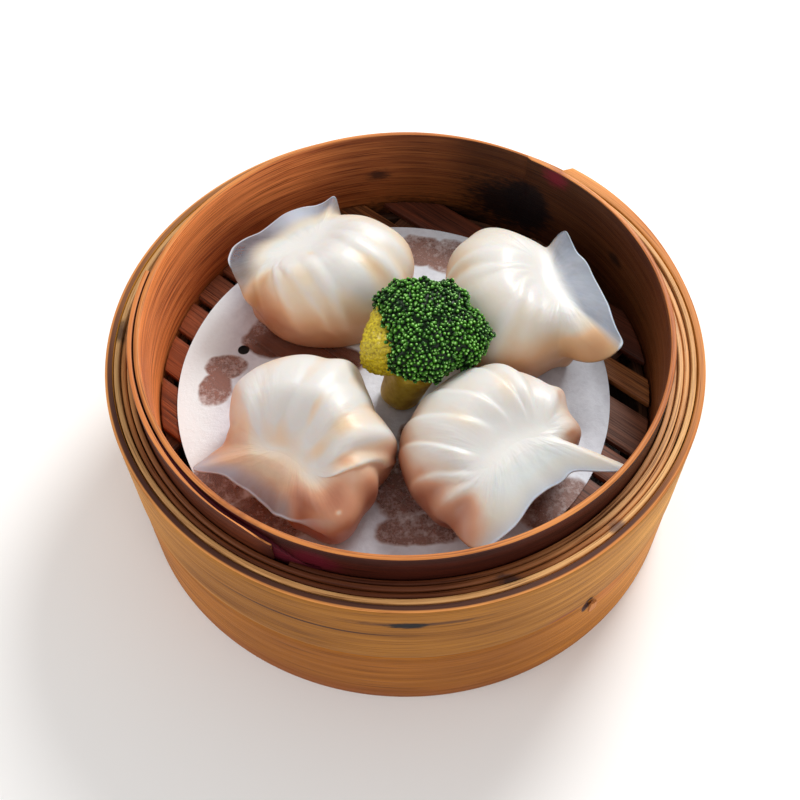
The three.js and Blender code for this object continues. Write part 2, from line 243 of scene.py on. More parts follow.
def cane(name, light, deep, cut=None, lining=None, gloss=0.42, streaks=0.5, painted_shade=None, radius=70.0, start=0):
    """Split bamboo: long fibres along the strip and slow changes of tone. The cut edges and the lining can
    have a light and a deep colour of their own."""
    material, tree, shader = new_material(name)
    uv = on_map(tree, "strip")
    side = marked(tree, "side")
    fine = grain(tree, uv, (42, 2600, 1), 4.0, 0.6)
    wide = grain(tree, uv, (14, 420, 1), 3.0, 0.5)
    slow = grain(tree, uv, (11, 38, 1), 2.0, 0.5)
    tone = plus(tree, times(tree, fine, 0.45), times(tree, wide, 0.35))
    tone = plus(tree, tone, times(tree, slow, 0.45))
    colour = ramp(tree, tone, [(0.5, paint(*deep)), (0.75, paint(*light))])
    # Painted shade: tones along the strip, when given, darken the lining, or else the whole strip, where that
    # part of the basket is out of the lamp's light.
    if lining:
        inward = reckon(tree, "MAXIMUM", times(tree, side, -1.0))
        lined = ramp(tree, tone, [(0.52, paint(*lining[1])), (0.73, paint(*lining[0]))])
        if painted_shade:
            lined = blend(tree, 1.0, lined, along_strip(tree, uv, painted_shade, radius, start), "MULTIPLY")
        colour = blend(tree, inward, colour, lined)
    elif painted_shade:
        colour = blend(tree, 1.0, colour, along_strip(tree, uv, painted_shade, radius, start), "MULTIPLY")
    if cut:
        flat = reckon(tree, "SUBTRACT", 1.0, reckon(tree, "ABSOLUTE", side))
        edge = ramp(tree, tone, [(0.45, paint(*cut[1])), (0.75, paint(*cut[0]))])
        colour = blend(tree, flat, colour, edge)
    lines = ramp(tree, fine, [(0.32, (0.34, 0.27, 0.22)), (0.47, (1, 1, 1))])
    colour = blend(tree, streaks, colour, lines, "MULTIPLY")
    tree.links.new(colour, shader.inputs["Base Color"])
    shader.inputs["Specular IOR Level"].default_value = 0.2
    shader.inputs["Coat Weight"].default_value = 0.03
    shader.inputs["Coat Roughness"].default_value = 0.3
    rough = between(tree, wide, 0.0, 1.0, gloss + 0.18, gloss - 0.06, soft=False)
    tree.links.new(rough, shader.inputs["Roughness"])
    roughen(tree, shader, plus(tree, fine, times(tree, wide, 0.7)), 0.55, 0.00025)
    return material


def colour_so_far(material):
    tree = material.node_tree
    shader = tree.nodes["Principled BSDF"]
    return tree, shader, shader.inputs["Base Color"].links[0].from_socket


def stain_and_shade(material, at, size, colour, strength=1.0, ragged=0.5, core=0.2):
    """Mixes in a patch of colour, used for real marks and for painted shade: centre and half-sizes in
    millimetres, its edge broken up by the grain.
    """
    tree, shader, before = colour_so_far(material)
    place = in_place(tree)
    rag = plus(tree, grain(tree, place, (350, 350, 1400), 3.0, 0.6), -0.5)
    reach = plus(tree, how_far(tree, place, at, size), times(tree, rag, ragged * 2))
    shown = between(tree, reach, 1.0, core, 0.0, strength)
    tree.links.new(blend(tree, shown, before, paint(*colour)), shader.inputs["Base Color"])


def wound_strip(name, inner, outer, low, top, start=0.0, turn=360.0, rows=3, rounding=0.3, shape=None):
    """Draws a strip's section on the +X side, rounds its corners, spins it about the basket's axis and lets
    shape(angle, radius, height) move its points. Sizes in millimetres, angles in degrees."""
    bpy.ops.object.select_all(action="DESELECT")
    middle = ((inner + outer) / 2 * MM, 0, (low + top) / 2 * MM)
    bpy.ops.mesh.primitive_plane_add(size=1, location=middle, rotation=(math.pi / 2, 0, 0))
    strip = bpy.context.object
    strip.name = name
    strip.scale = ((outer - inner) * MM, (top - low) * MM, 1)
    bpy.ops.object.transform_apply(location=True, rotation=True, scale=True)
    bpy.ops.object.mode_set(mode="EDIT")
    bpy.ops.mesh.bevel(offset=rounding * MM, segments=2, affect="VERTICES")
    if turn == 360.0:
        bpy.ops.mesh.select_all(action="SELECT")
        bpy.ops.mesh.delete(type="ONLY_FACE")
    bpy.ops.mesh.select_all(action="DESELECT")
    section = bmesh.from_edit_mesh(strip.data)
    for edge in section.edges:
        upright = abs(edge.verts[0].co.z - edge.verts[1].co.z) > MM
        edge.select_set(upright and edge.calc_length() > 0.4 * (top - low) * MM)
    bmesh.update_edit_mesh(strip.data)
    bpy.ops.mesh.subdivide(number_cuts=rows)
    bpy.ops.mesh.select_all(action="SELECT")
    steps = max(8, round(turn / 1.25))
    bpy.ops.mesh.spin(steps=steps, angle=math.radians(turn), center=(0, 0, 0), axis=(0, 0, -1))
    bpy.ops.mesh.select_all(action="SELECT")
    bpy.ops.mesh.remove_doubles(threshold=0.000002)
    bpy.ops.mesh.normals_make_consistent(inside=False)
    bpy.ops.object.mode_set(mode="OBJECT")
    mesh = strip.data
    angles = []
    for vertex in mesh.vertices:
        x, y, z = vertex.co / MM
        angle = math.degrees(math.atan2(y, x)) % 360
        angle = 0.0 if angle > 359.99 else angle
        angles.append(angle)
        radius = math.hypot(x, y)
        if shape:
            radius, z = shape(angle + start, radius, z)
        turned_by = math.radians(angle + start)
        vertex.co = Vector((radius * math.cos(turned_by), radius * math.sin(turned_by), z)) * MM
    mesh.update()
    # The map runs along the strip from its start and up its side. "side" is 1 on its outer face, -1 on its
    # inner face and 0 on its cut edges.
    uv = mesh.uv_layers.new(name="strip")
    side = mesh.attributes.new("side", "FLOAT", "FACE")
    for face in mesh.polygons:
        outward = Vector((face.center.x, face.center.y, 0)).normalized().dot(face.normal)
        side.data[face.index].value = 1.0 if outward > 0.7 else -1.0 if outward < -0.7 else 0.0
        around = [angles[v] for v in face.vertices]
        wrapped = max(around) - min(around) > 180
        for loop in face.loop_indices:
            index = mesh.loops[loop].vertex_index
            angle = angles[index] + (360 if wrapped and angles[index] < 180 else 0)
            x, y, z = mesh.vertices[index].co
            uv.data[loop].uv = (math.radians(angle) * outer * MM, z + math.hypot(x, y) - inner * MM)
    bpy.ops.object.select_all(action="DESELECT")
    strip.select_set(True)
    bpy.context.view_layer.objects.active = strip
    bpy.ops.object.shade_smooth_by_angle(angle=math.radians(50))
    return strip


def ease(x, a, b):
    t = min(max((x - a) / (b - a), 0.0), 1.0)
    return t * t * (3 - 2 * t)


def wave(angle, seed):
    """A slow, closed, uneven wave round the basket, about -1 to 1."""
    luck = random.Random(seed)
    total = 0.0
    for n in range(2, 9):
        total += luck.uniform(-1, 1) * math.cos(n * math.radians(angle) + luck.uniform(0, 6.3)) / math.sqrt(n)
    return total / 1.6


def hoop_shape(angle, radius, z):
    if radius < 70.1:
        radius += 0.55 * (1 - ease((angle - HOOP_END) % 360, 0, 40))
    if z > 64:
        z += 0.16 * wave(angle, 1) - 0.16
    return radius, z


hoop = wound_strip("hoop", HOOP_INNER, HOOP_OUTER, STRIP_FOOT, HOOP_TOP, start=HOOP_END, rows=11,
                   rounding=0.45, shape=hoop_shape)
# Painted shade: the lining is painted darker round the back, the right and the front, and stays light on the
# left, where the lamp shines on it. The back's near-black red-brown is partly painted shade as well.
hoop_painted_shade = [(0, 0.26), (25, 0.15), (50, 0.07), (70, 0.09), (84, 0.24), (100, 0.42), (122, 0.95), (200, 1.0),
             (262, 0.52), (335, 0.3)]
hoop_cane = cane("hoop_cane", (80, 32, 20), (38, 14, 10), cut=((218, 142, 76), (160, 84, 40)),
                 lining=((252, 152, 84), (176, 88, 44)), gloss=0.36, streaks=0.9, painted_shade=hoop_painted_shade,
                 start=HOOP_END)
# Old marks: the back wall painted near-black, partly old soiling and partly painted shade where it
# faces away from the lamp; painted shade along its foot, where it meets the floor; a smudge, a spot of
# crimson dye, painted shade on the right wall, and the dark glue under the lap.
stain_and_shade(hoop_cane, (34, 60, 43), (21, 14, 13), (15, 8, 9), 0.95, ragged=0.6, core=0.45)
stain_and_shade(hoop_cane, (38, 57.5, 46), (9, 8, 11), (15, 8, 9), 0.9, ragged=0.3, core=0.7)
stain_and_shade(hoop_cane, (8, 69, 32), (40, 16, 9), (16, 8, 8), 0.9, ragged=0.6)
stain_and_shade(hoop_cane, (-7.3, 68.9, 48.9), (5.5, 4, 3), (34, 16, 15), 0.8, ragged=0.6)
stain_and_shade(hoop_cane, (45, 52.7, 62), (5.5, 6, 4.5), (112, 20, 42), 0.75, ragged=0.5)
stain_and_shade(hoop_cane, (61.6, 31.8, 49.5), (4, 5, 2.6), (10, 6, 6), 0.8, ragged=0.6)
stain_and_shade(hoop_cane, (-40.7, -58.1, 58), (16, 13, 9), (74, 12, 26), 0.95, ragged=0.3)
stain_and_shade(hoop_cane, (-23, -67.5, 58), (12, 5, 6), (92, 18, 34), 0.85, ragged=0.4)
hoop.data.materials.append(hoop_cane)
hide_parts("inner_hoop")
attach(hoop, "root")


# ---- the hoop's outer lap ----
# The strip goes on for a short way outside its own first turn. It is pared thin towards its end at the front
# left, where it has sprung off the first turn.
def lap_shape(angle, radius, z):
    if radius < 72:
        radius += 1.15 * ease(angle, 206, 243)
    if z > 60:
        z += 0.12 * wave(angle, 2) - 2.2 * ease(angle, 234, 244) ** 2
    return radius, z


lap = wound_strip("hoop_end", 71.2, 72.6, STRIP_FOOT, 64.2, start=166, turn=78, rows=5, rounding=0.35,
                  shape=lap_shape)
lap_cane = cane("lap_cane", (112, 54, 30), (58, 24, 15), cut=((226, 146, 82), (176, 96, 48)), gloss=0.4,
                streaks=0.8)
stain_and_shade(lap_cane, (-30, -66, 54), (8, 8, 14), (48, 16, 14), 0.9, ragged=0.4)
lap.data.materials.append(lap_cane)
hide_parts("hoop_lap")
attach(lap, "root")


# ---- glue in the lap ----
# A wedge of old crimson glue fills the gap between the hoop and the sprung end of its lap. It was brushed on
# before the strip was clamped, and runs out thin and low just past the end.
def glue_shape(angle, radius, z):
    if radius > 71.05:
        radius += 1.15 * ease(angle, 206, 243) * (1 - ease(angle, 239, 252))
    if z > 60:
        z -= 1.5 * ease(angle, 222, 240) + 7.2 * ease(angle, 240, 252)
    return radius, z


glue = wound_strip("glue_wedge", 70.97, 71.13, 40, 63.6, start=211, turn=42, rows=2, rounding=0.03,
                   shape=glue_shape)
glue.data.materials.append(cane("glue", (112, 26, 42), (54, 12, 22), gloss=0.5, streaks=0.4))
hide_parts("hoop_lap")
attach(glue, "root")


# ---- wound plies on the ledge ----
# Four thin strips fill the wall between the hoop and the outer bands. Only their top edges show, as a
# stepped, striped ledge on which the lid sits, pale further out. Next to the hoop at the front left the inner
# three are painted reddish and dark, which is painted shade; the outermost is painted a little darker at the
# left and back.
plies = [
    # name, node, inner and outer radius, top, where it starts, how far it goes round, light and deep, slot
    ("ply_inmost", "ply_1", 71.25, 72.6, 54.9, 247, 276, (234, 172, 114), (160, 96, 58), "cane_red"),
    ("ply_second", "ply_2", 72.95, 74.25, 55.6, 100, 360, (240, 184, 124), (172, 108, 64), "cane_red"),
    ("ply_third", "ply_3", 74.6, 75.9, 55.2, 112, 360, (240, 178, 114), (168, 102, 58), "cane_red"),
    ("ply_outmost", "ply_4", 76.25, 77.65, 55.9, 92, 360, (242, 190, 126), (190, 128, 72), "cane_pale"),
]
in_shade = [(0, 1.0), (45, 0.9), (90, 0.8), (160, 0.75), (188, (0.85, 0.72, 0.6)), (215, (0.36, 0.24, 0.2)),
            (245, (0.2, 0.11, 0.09)), (272, (0.2, 0.11, 0.09)), (289, (0.42, 0.3, 0.24)),
            (302, (0.78, 0.68, 0.6)), (314, 0.95)]
in_light = [(0, 1.0), (45, 1.0), (90, 0.9), (160, 0.66), (188, 0.75), (215, 0.75), (245, 0.95), (280, 1.0),
            (312, 1.0), (335, 1.0)]
for number, (name, node, inner, outer, top, start, turn, light, deep, slot) in enumerate(plies):
    def ply_shape(angle, radius, z, seed=10 + number):
        if z > 50:
            z += 0.2 * wave(angle, seed)
        return radius, z

    ply = wound_strip(name, inner, outer, STRIP_FOOT, top, start=start, turn=turn, rows=1, shape=ply_shape)
    ply_cane = cane(name + "_cane", light, deep, gloss=0.4, streaks=1.0, radius=outer, start=start,
                    painted_shade=in_light if name == "ply_outmost" else in_shade)
    # Dark bruises where the lid has rubbed.
    stain_and_shade(ply_cane, (23.5, -71.8, 55.5), (5, 2.4, 2), (46, 28, 30), 0.8, ragged=0.6)
    stain_and_shade(ply_cane, (50.0, -58.6, 55.5), (3.4, 3, 2), (92, 70, 70), 0.8, ragged=0.6)
    stain_and_shade(ply_cane, (-77.5, 3, 55.5), (4, 6, 3), (52, 26, 26), 0.8, ragged=0.6)
    ply.data.materials.append(ply_cane)
    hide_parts(node)
    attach(ply, "root")


# ---- outer bands ----
# Two wide strips make the outside: the lower one golden and plain, the upper one browner, with the green skin
# of the cane scraped off. The upper strip's end has sprung off a little at the back right.
BAND_INNER, UPPER_OUTER, LOWER_OUTER = 77.95, 80.0, 79.8
SEAM, BAND_TOP = 28.4, 56.1
BAND_END = 52


def upper_shape(angle, radius, z):
    back = angle % 360
    past_end = ease(back, 51, 52)
    if radius > 79:
        radius += 1.9 * ease(back, 8, 49) * (1 - past_end) - 0.6 * past_end * (1 - ease(back, 70, 120))
    if z > 50:
        z += 0.15 * wave(angle, 21) - 0.1
    return radius, z


upper = wound_strip("upper_band", BAND_INNER, UPPER_OUTER, SEAM + 0.1, BAND_TOP, start=BAND_END, rows=7,
                    rounding=0.35, shape=upper_shape)
# Painted shade: both bands are painted darker and browner across the front, which faces away from the window
# lamp.
wall_painted_shade = [(0, 1.0), (60, 1.0), (190, 0.9), (215, (0.76, 0.7, 0.6)), (250, (0.5, 0.43, 0.3)),
             (285, (0.5, 0.43, 0.3)), (308, (0.8, 0.76, 0.68)), (325, 1.0)]
upper_cane = cane("upper_cane", (238, 168, 66), (164, 104, 32), cut=((232, 158, 88), (184, 106, 50)),
                  gloss=0.55, streaks=0.6, painted_shade=wall_painted_shade, radius=UPPER_OUTER, start=BAND_END)
# The inner part of its top edge is stained dark by the lid; the outermost edge is rubbed light.
tree, shader, before = colour_so_far(upper_cane)
strip_uv = on_map(tree, "strip")
inner_part = between(tree, parts_of(tree, strip_uv)[1], 57.55 * MM, 57.2 * MM, soft=False)
flat = reckon(tree, "SUBTRACT", 0.92, reckon(tree, "ABSOLUTE", marked(tree, "side")))
dark_part = times(tree, inner_part, reckon(tree, "MAXIMUM", flat))
where_dark = [(0, 0.1), (50, 0.1), (90, 0.3), (150, 0.7), (200, 1.0), (310, 1.0), (345, 0.2)]
dark_part = times(tree, dark_part, along_strip(tree, strip_uv, where_dark, UPPER_OUTER, BAND_END))
tree.links.new(blend(tree, dark_part, before, paint(54, 28, 32)), shader.inputs["Base Color"])
# A knot with its streak, a long fine crack, the dark seam under the strip, glue's mark round the slot, and
# painted shade in the slot itself, round the pin.
stain_and_shade(upper_cane, (4, -80, 49.3), (30, 5, 1.2), (84, 50, 30), 0.85, ragged=0.6)
stain_and_shade(upper_cane, (-0.4, -80, 48.9), (7, 4, 2.0), (20, 15, 18), 1.0, ragged=0.5, core=0.5)
stain_and_shade(upper_cane, (-26, -76, 43), (40, 24, 0.6), (66, 34, 20), 1.0, ragged=0.15, core=0.4)
stain_and_shade(upper_cane, (0, 0, SEAM), (200, 200, 0.55), (84, 42, 22), 0.9, ragged=0.1, core=0.4)
stain_and_shade(upper_cane, (39, -70, 28.5), (10, 6, 2.2), (140, 52, 34), 0.75, ragged=0.4)
stain_and_shade(upper_cane, (46.1, -65.5, 28.5), (1.5, 1.6, 2.6), (52, 14, 4), 1.0, ragged=0.1, core=0.6)
upper.data.materials.append(upper_cane)
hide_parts("upper_band")
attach(upper, "root")

lower = wound_strip("lower_band", BAND_INNER, LOWER_OUTER, 0.0, SEAM - 0.2, start=BAND_END, rows=7,
                    rounding=0.35)
lower_cane = cane("lower_cane", (232, 150, 38), (158, 92, 12), gloss=0.55, streaks=0.55, painted_shade=wall_painted_shade,
                  radius=LOWER_OUTER, start=BAND_END)
# Painted shade along the front foot of the wall, where it meets the table, and in the slot round the pin; then a
# lighter patch beside the slot.
stain_and_shade(lower_cane, (-20, -70, 1), (90, 40, 8), (146, 76, 14), 0.6, ragged=0.3)
stain_and_shade(lower_cane, (45.6, -65.8, 25.5), (1.4, 1.6, 3.6), (52, 14, 4), 1.0, ragged=0.1, core=0.6)
stain_and_shade(lower_cane, (52, -60, 26), (9, 9, 8), (214, 122, 56), 0.4, ragged=0.5)
lower.data.materials.append(lower_cane)
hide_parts("lower_band")
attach(lower, "root")


# ---- pin ----
# A flat bamboo pin, driven through a slot in the wall across the seam of the two bands, holds them together.
# Its corners are worn round and it narrows a little towards its top.
PIN_ANGLE, PIN_RADIUS, PIN_Z = -54, 80.65, 25.6
PIN_THICK, PIN_WIDE, PIN_HIGH = 0.9, 2.4, 4.4
bpy.ops.object.select_all(action="DESELECT")
bpy.ops.mesh.primitive_cube_add(size=1, location=(0, 0, 0))
pin = bpy.context.object
pin.name = "pin"
pin.scale = (PIN_THICK * MM, PIN_WIDE * MM, PIN_HIGH * MM)
bpy.ops.object.transform_apply(location=False, rotation=False, scale=True)
bpy.ops.object.mode_set(mode="EDIT")
bpy.ops.mesh.subdivide(number_cuts=5)
bpy.ops.mesh.select_all(action="DESELECT")
bpy.ops.object.mode_set(mode="OBJECT")
at = math.radians(PIN_ANGLE)
for vertex in pin.data.vertices:
    x, y, z = vertex.co / MM
    x *= 1 - 0.35 * (abs(y) / (PIN_WIDE / 2)) ** 3 - 0.2 * (abs(z) / (PIN_HIGH / 2)) ** 3
    y *= 1 - 0.25 * (z / PIN_HIGH + 0.5) ** 2
    r = PIN_RADIUS + x
    around = Vector((r * math.cos(at) - y * math.sin(at), r * math.sin(at) + y * math.cos(at), PIN_Z + z))
    vertex.co = around * MM
pin.data.update()
pin_uv = pin.data.uv_layers.new(name="strip")
for loop in pin.data.loops:
    x, y, z = pin.data.vertices[loop.vertex_index].co
    pin_uv.data[loop.index].uv = (z, x + y)
bpy.ops.object.shade_smooth_by_angle(angle=math.radians(60))
pin.data.materials.append(cane("pin_cane", (214, 140, 78), (160, 96, 50), gloss=0.55))
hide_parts("wall_pin")
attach(pin, "root")


# ---- foot ring and slatted floor ----
# A plain ring inside the hoop carries three cross beams, and nine split bamboo slats of uneven width lie
# across them with gaps for the steam. The wood is dark from years of steaming, redder on the left, greyer on
# the right.
foot = wound_strip("foot_ring", 66.4, 69.0, 0.0, 32.5, rows=3, rounding=0.4)
foot.data.materials.append(cane("foot_cane", (112, 74, 52), (66, 40, 28)))
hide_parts("foot_ring")
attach(foot, "root")

FLOOR_RADIUS = 68.8
SLAT_ANGLE, BEAM_ANGLE = -41, 49
SLAT_Z, BEAM_Z, STRIP_THICK = 35.3, 32.8, 2.2


def floor_strip(name, near, far, angle, bottom, seed):
    """A split strip lying across the basket: near and far are its long edges' distances from the axis."""
    bpy.ops.object.select_all(action="DESELECT")
    bpy.ops.mesh.primitive_grid_add(x_subdivisions=56, y_subdivisions=8, size=2, location=(0, 0, 0))
    strip = bpy.context.object
    strip.name = name
    bpy.ops.object.mode_set(mode="EDIT")
    bpy.ops.mesh.select_all(action="SELECT")
    bpy.ops.mesh.extrude_region_move(TRANSFORM_OT_translate={"value": (0, 0, 1)})
    bpy.ops.mesh.select_all(action="SELECT")
    bpy.ops.mesh.normals_make_consistent(inside=False)
    bpy.ops.object.mode_set(mode="OBJECT")
    luck = random.Random(seed)
    phase = [luck.uniform(0, 6.3) for _ in range(4)]
    turned_by = math.radians(angle)
    flat = []
    for vertex in strip.data.vertices:
        u, v, top = vertex.co
        across = (near + far) / 2 + v * (far - near) / 2
        across += 0.18 * math.sin(5 * u + phase[0] + (2 if v > 0 else 0)) * abs(v)
        along = u * math.sqrt(FLOOR_RADIUS ** 2 - across ** 2) * (1 - 0.006 * abs(math.sin(7 * v + phase[1])))
        z = bottom + top * (STRIP_THICK - 0.22 * v * v - 0.05 * (1 + math.sin(9 * u + phase[2])))
        flat.append((along, across, z))
        vertex.co = Vector((along * math.cos(turned_by) - across * math.sin(turned_by),
                            along * math.sin(turned_by) + across * math.cos(turned_by), z)) * MM
    strip.data.update()
    uv = strip.data.uv_layers.new(name="strip")
    for loop in strip.data.loops:
        along, across, z = flat[loop.vertex_index]
        uv.data[loop.index].uv = (along * MM + seed, (across + z) * MM)
    bevel = strip.modifiers.new("worn_edges", "BEVEL")
    bevel.width = 0.3 * MM
    bevel.segments = 2
    bevel.limit_method = "ANGLE"
    bevel.angle_limit = math.radians(50)
    bpy.ops.object.modifier_apply(modifier="worn_edges")
    bpy.ops.object.shade_smooth_by_angle(angle=math.radians(40))
    return strip


def starch(material):
    """Dried starch and water specks: small, rare, pale grains where the noise is high."""
    tree, shader, before = colour_so_far(material)
    place = in_place(tree)
    specks = grain(tree, place, (900, 900, 900), 3.0, 0.6)
    where = grain(tree, place, (45, 45, 45), 2.0, 0.6)
    both = plus(tree, plus(tree, specks, times(tree, where, 0.6)), -0.5)
    mask = ramp(tree, both, [(0.54, (0, 0, 0)), (0.62, (0.5, 0.5, 0.5))])
    tree.links.new(blend(tree, mask, before, paint(190, 176, 168)), shader.inputs["Base Color"])


slats = [
    # near and far edge, light and deep colour
    (47.6, 59.6, (108, 56, 38), (48, 24, 18)),
    (36.5, 43.3, (182, 116, 66), (84, 48, 28)),
    (19.4, 31.8, (150, 94, 68), (76, 46, 34)),
    (8.2, 17.2, (150, 88, 60), (76, 42, 30)),
    (-5.2, 6.2, (146, 84, 56), (74, 40, 26)),
    (-17.4, -7.1, (146, 82, 54), (74, 38, 25)),
    (-29.4, -19.3, (150, 80, 50), (76, 36, 22)),
    (-42.1, -31.4, (156, 80, 46), (78, 36, 20)),
    (-55.6, -44.1, (164, 84, 46), (80, 36, 20)),
]
SLAT_UNDER_HOLE = 7
for number, (near, far, light, deep) in enumerate(slats, 1):
    slat = floor_strip(f"slat_{number}", near, far, SLAT_ANGLE, SLAT_Z, number)
    slat_cane = cane(f"slat_cane_{number}", light, deep, gloss=0.4, streaks=0.9)
    if number == SLAT_UNDER_HOLE:
        # Painted shade: the slat is painted near-black under the paper's steam hole.
        stain_and_shade(slat_cane, (-46.8, 9.8, 37.3), (2.6, 2.6, 2), (14, 9, 8), 1.0, ragged=0.1, core=0.7)
    starch(slat_cane)
    slat.data.materials.append(slat_cane)
    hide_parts(f"floor_slat_{number}")
    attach(slat, "root")
BEAM_HALF = 4.5
beam_cane = cane("beam_cane", (104, 66, 46), (58, 34, 24), streaks=0.9)
for number, middle in enumerate((-37, 1, 38), 1):
    near, far = middle - BEAM_HALF, middle + BEAM_HALF
    beam = floor_strip(f"beam_{number}", near, far, BEAM_ANGLE, BEAM_Z, 20 + number)
    beam.data.materials.append(beam_cane)
    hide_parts(f"floor_beam_{number}")
    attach(beam, "root")


# ---- paper liner ----
# A round sheet of white greaseproof paper with a punched steam hole lies on the slats. Where the dumplings'
# water has soaked it, it clings to the slats and lets their brown show through, with a scum of starch.
LINER_RADIUS, LINER_Z, LINER_SHIFT = 60.4, 38.0, 3.3
HOLE_AT, HOLE_RADIUS = Vector((-43, 13.2, 0)), 1.7
bpy.ops.object.select_all(action="DESELECT")
bpy.ops.mesh.primitive_grid_add(x_subdivisions=190, y_subdivisions=190, size=122 * MM, location=(0, 0, 0))
liner = bpy.context.object
liner.name = "liner"
bpy.ops.object.mode_set(mode="EDIT")
sheet = bmesh.from_edit_mesh(liner.data)
hole = HOLE_AT * MM
for face in sheet.faces:
    centre = face.calc_center_median()
    face.select_set(centre.length > 60.3 * MM or (centre - hole).length < 1.5 * MM)
bmesh.update_edit_mesh(liner.data)
bpy.ops.mesh.delete(type="FACE")
sheet = bmesh.from_edit_mesh(liner.data)
for vertex in sheet.verts:
    if vertex.is_boundary:
        from_hole = vertex.co - hole
        if from_hole.length < 4 * MM:
            vertex.co = hole + from_hole.normalized() * HOLE_RADIUS * MM
        else:
            vertex.co = vertex.co.normalized() * LINER_RADIUS * MM
for vertex in sheet.verts:
    x, y = vertex.co.x / MM, vertex.co.y / MM
    z = LINER_Z + 0.045 * math.sin(0.21 * x + 0.3 * math.sin(0.17 * y))
    z += 0.045 * math.sin(0.26 * y + 0.11 * x)
    vertex.co = Vector((x - LINER_SHIFT, y - LINER_SHIFT, z)) * MM
bmesh.update_edit_mesh(liner.data)
bpy.ops.object.mode_set(mode="OBJECT")
thick = liner.modifiers.new("paper", "SOLIDIFY")
thick.thickness = 0.2 * MM
thick.offset = -1
bpy.ops.object.modifier_apply(modifier="paper")
bpy.ops.object.shade_smooth_by_angle(angle=math.radians(50))

paper, tree, shader = new_material("wet_paper")
place = in_place(tree)
pulp = grain(tree, place, (420, 420, 420), 4.0, 0.6)
cloud = grain(tree, place, (42, 42, 42), 3.0, 0.55)
fibres = ramp(tree, pulp, [(0.35, paint(200, 198, 204)), (0.6, paint(255, 255, 255))])
dry = ramp(tree, cloud, [(0.35, paint(208, 214, 226)), (0.62, paint(234, 241, 252))])
dry = blend(tree, 0.25, dry, fibres, "MULTIPLY")
# Painted light: at the left, which faces the lamp, the paper is painted a brighter bluish white.
painted_light_left = between(tree, parts_of(tree, place)[0], -46 * MM, -58 * MM)
dry = blend(tree, painted_light_left, dry, paint(236, 249, 255))
# Soaked places: centre and half-sizes, all seen as one mask with a ragged shore.
soaked_places = [
    ((-35, 14), (11, 8)), ((-51, 4), (6, 4.2)), ((-53.5, -4.5), (5, 6)), ((-20, 5), (9, 6)),
    ((-1, -36), (9, 12)), ((4, -22), (6, 9)), ((4, -49), (13, 5)), ((5, 48), (8, 6)), ((14, 45), (6, 7)),
    ((36, -41), (12, 8)), ((-49, -34), (8, 8)), ((-38, -46), (11, 8)),
]
soaked = how_far(tree, place, *soaked_places[0])
for centre, half in soaked_places[1:]:
    soaked = reckon(tree, "MINIMUM", soaked, how_far(tree, place, centre, half))
shore = plus(tree, grain(tree, place, (90, 90, 90), 3.0, 0.5), -0.5)
wet = between(tree, plus(tree, soaked, times(tree, shore, 1.1)), 1.12, 0.9)
thick_scum = grain(tree, place, (85, 85, 85), 3.0, 0.6)
scum = plus(tree, grain(tree, place, (620, 620, 620), 5.0, 0.7), times(tree, thick_scum, 0.8))
scum = ramp(tree, plus(tree, scum, -0.4), [(0.46, (0, 0, 0)), (0.78, (1, 1, 1))])
# Beside the dumpling at the back left it is wholly soaked, with little scum, and painted darker brown:
# partly the soaked paper's colour, partly the dumpling's painted shadow.
soaked_and_shadowed = between(tree, how_far(tree, place, (-27, 9), (17, 11)), 1.25, 0.8)
scum = times(tree, scum, plus(tree, times(tree, soaked_and_shadowed, -0.8), 1.0))
brown = blend(tree, scum, paint(184, 144, 134), paint(222, 216, 218))
brown = blend(tree, soaked_and_shadowed, brown, blend(tree, scum, paint(126, 74, 54), paint(212, 204, 204)))
tree.links.new(blend(tree, wet, dry, brown), shader.inputs["Base Color"])
cover = blend(tree, scum, (0.4, 0.4, 0.4, 1), (0.85, 0.85, 0.85, 1))
tree.links.new(between(tree, wet, 0.0, 1.0, 1.0, cover, soft=False), shader.inputs["Alpha"])
shader.inputs["Roughness"].default_value = 0.5
roughen(tree, shader, plus(tree, pulp, scum), 0.35, 0.0002)
liner.data.materials.append(paper)
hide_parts("paper_liner")
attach(liner, "root")


# ---- dumplings ----
# Each is a round of hot-water wheat starch dough, rolled thin, folded over a pink prawn filling. The cook
# gathers the far half in pleats against the plain near half and pinches both into a flat fin along a short
# bowed fold line. Steamed, the skin is glossy and half clear: white where doubled, warm over the filling.
FOOD_Z = 38.4
BELLY_Z = 11.0
SKIN = 1.0
FOOT_SHARE = 0.84


def rise(x, a, b):
    t = np.clip((x - a) / (b - a), 0, 1)
    return t * t * (3 - 2 * t)


def bulges(places, rays):
    """Adds up soft bulges and dents: each is its ray, its half-width in degrees and how far it stands out."""
    return sum(mm * np.exp(-((((rays - at + 180) % 360 - 180) / wide) ** 2)) for at, wide, mm in places)


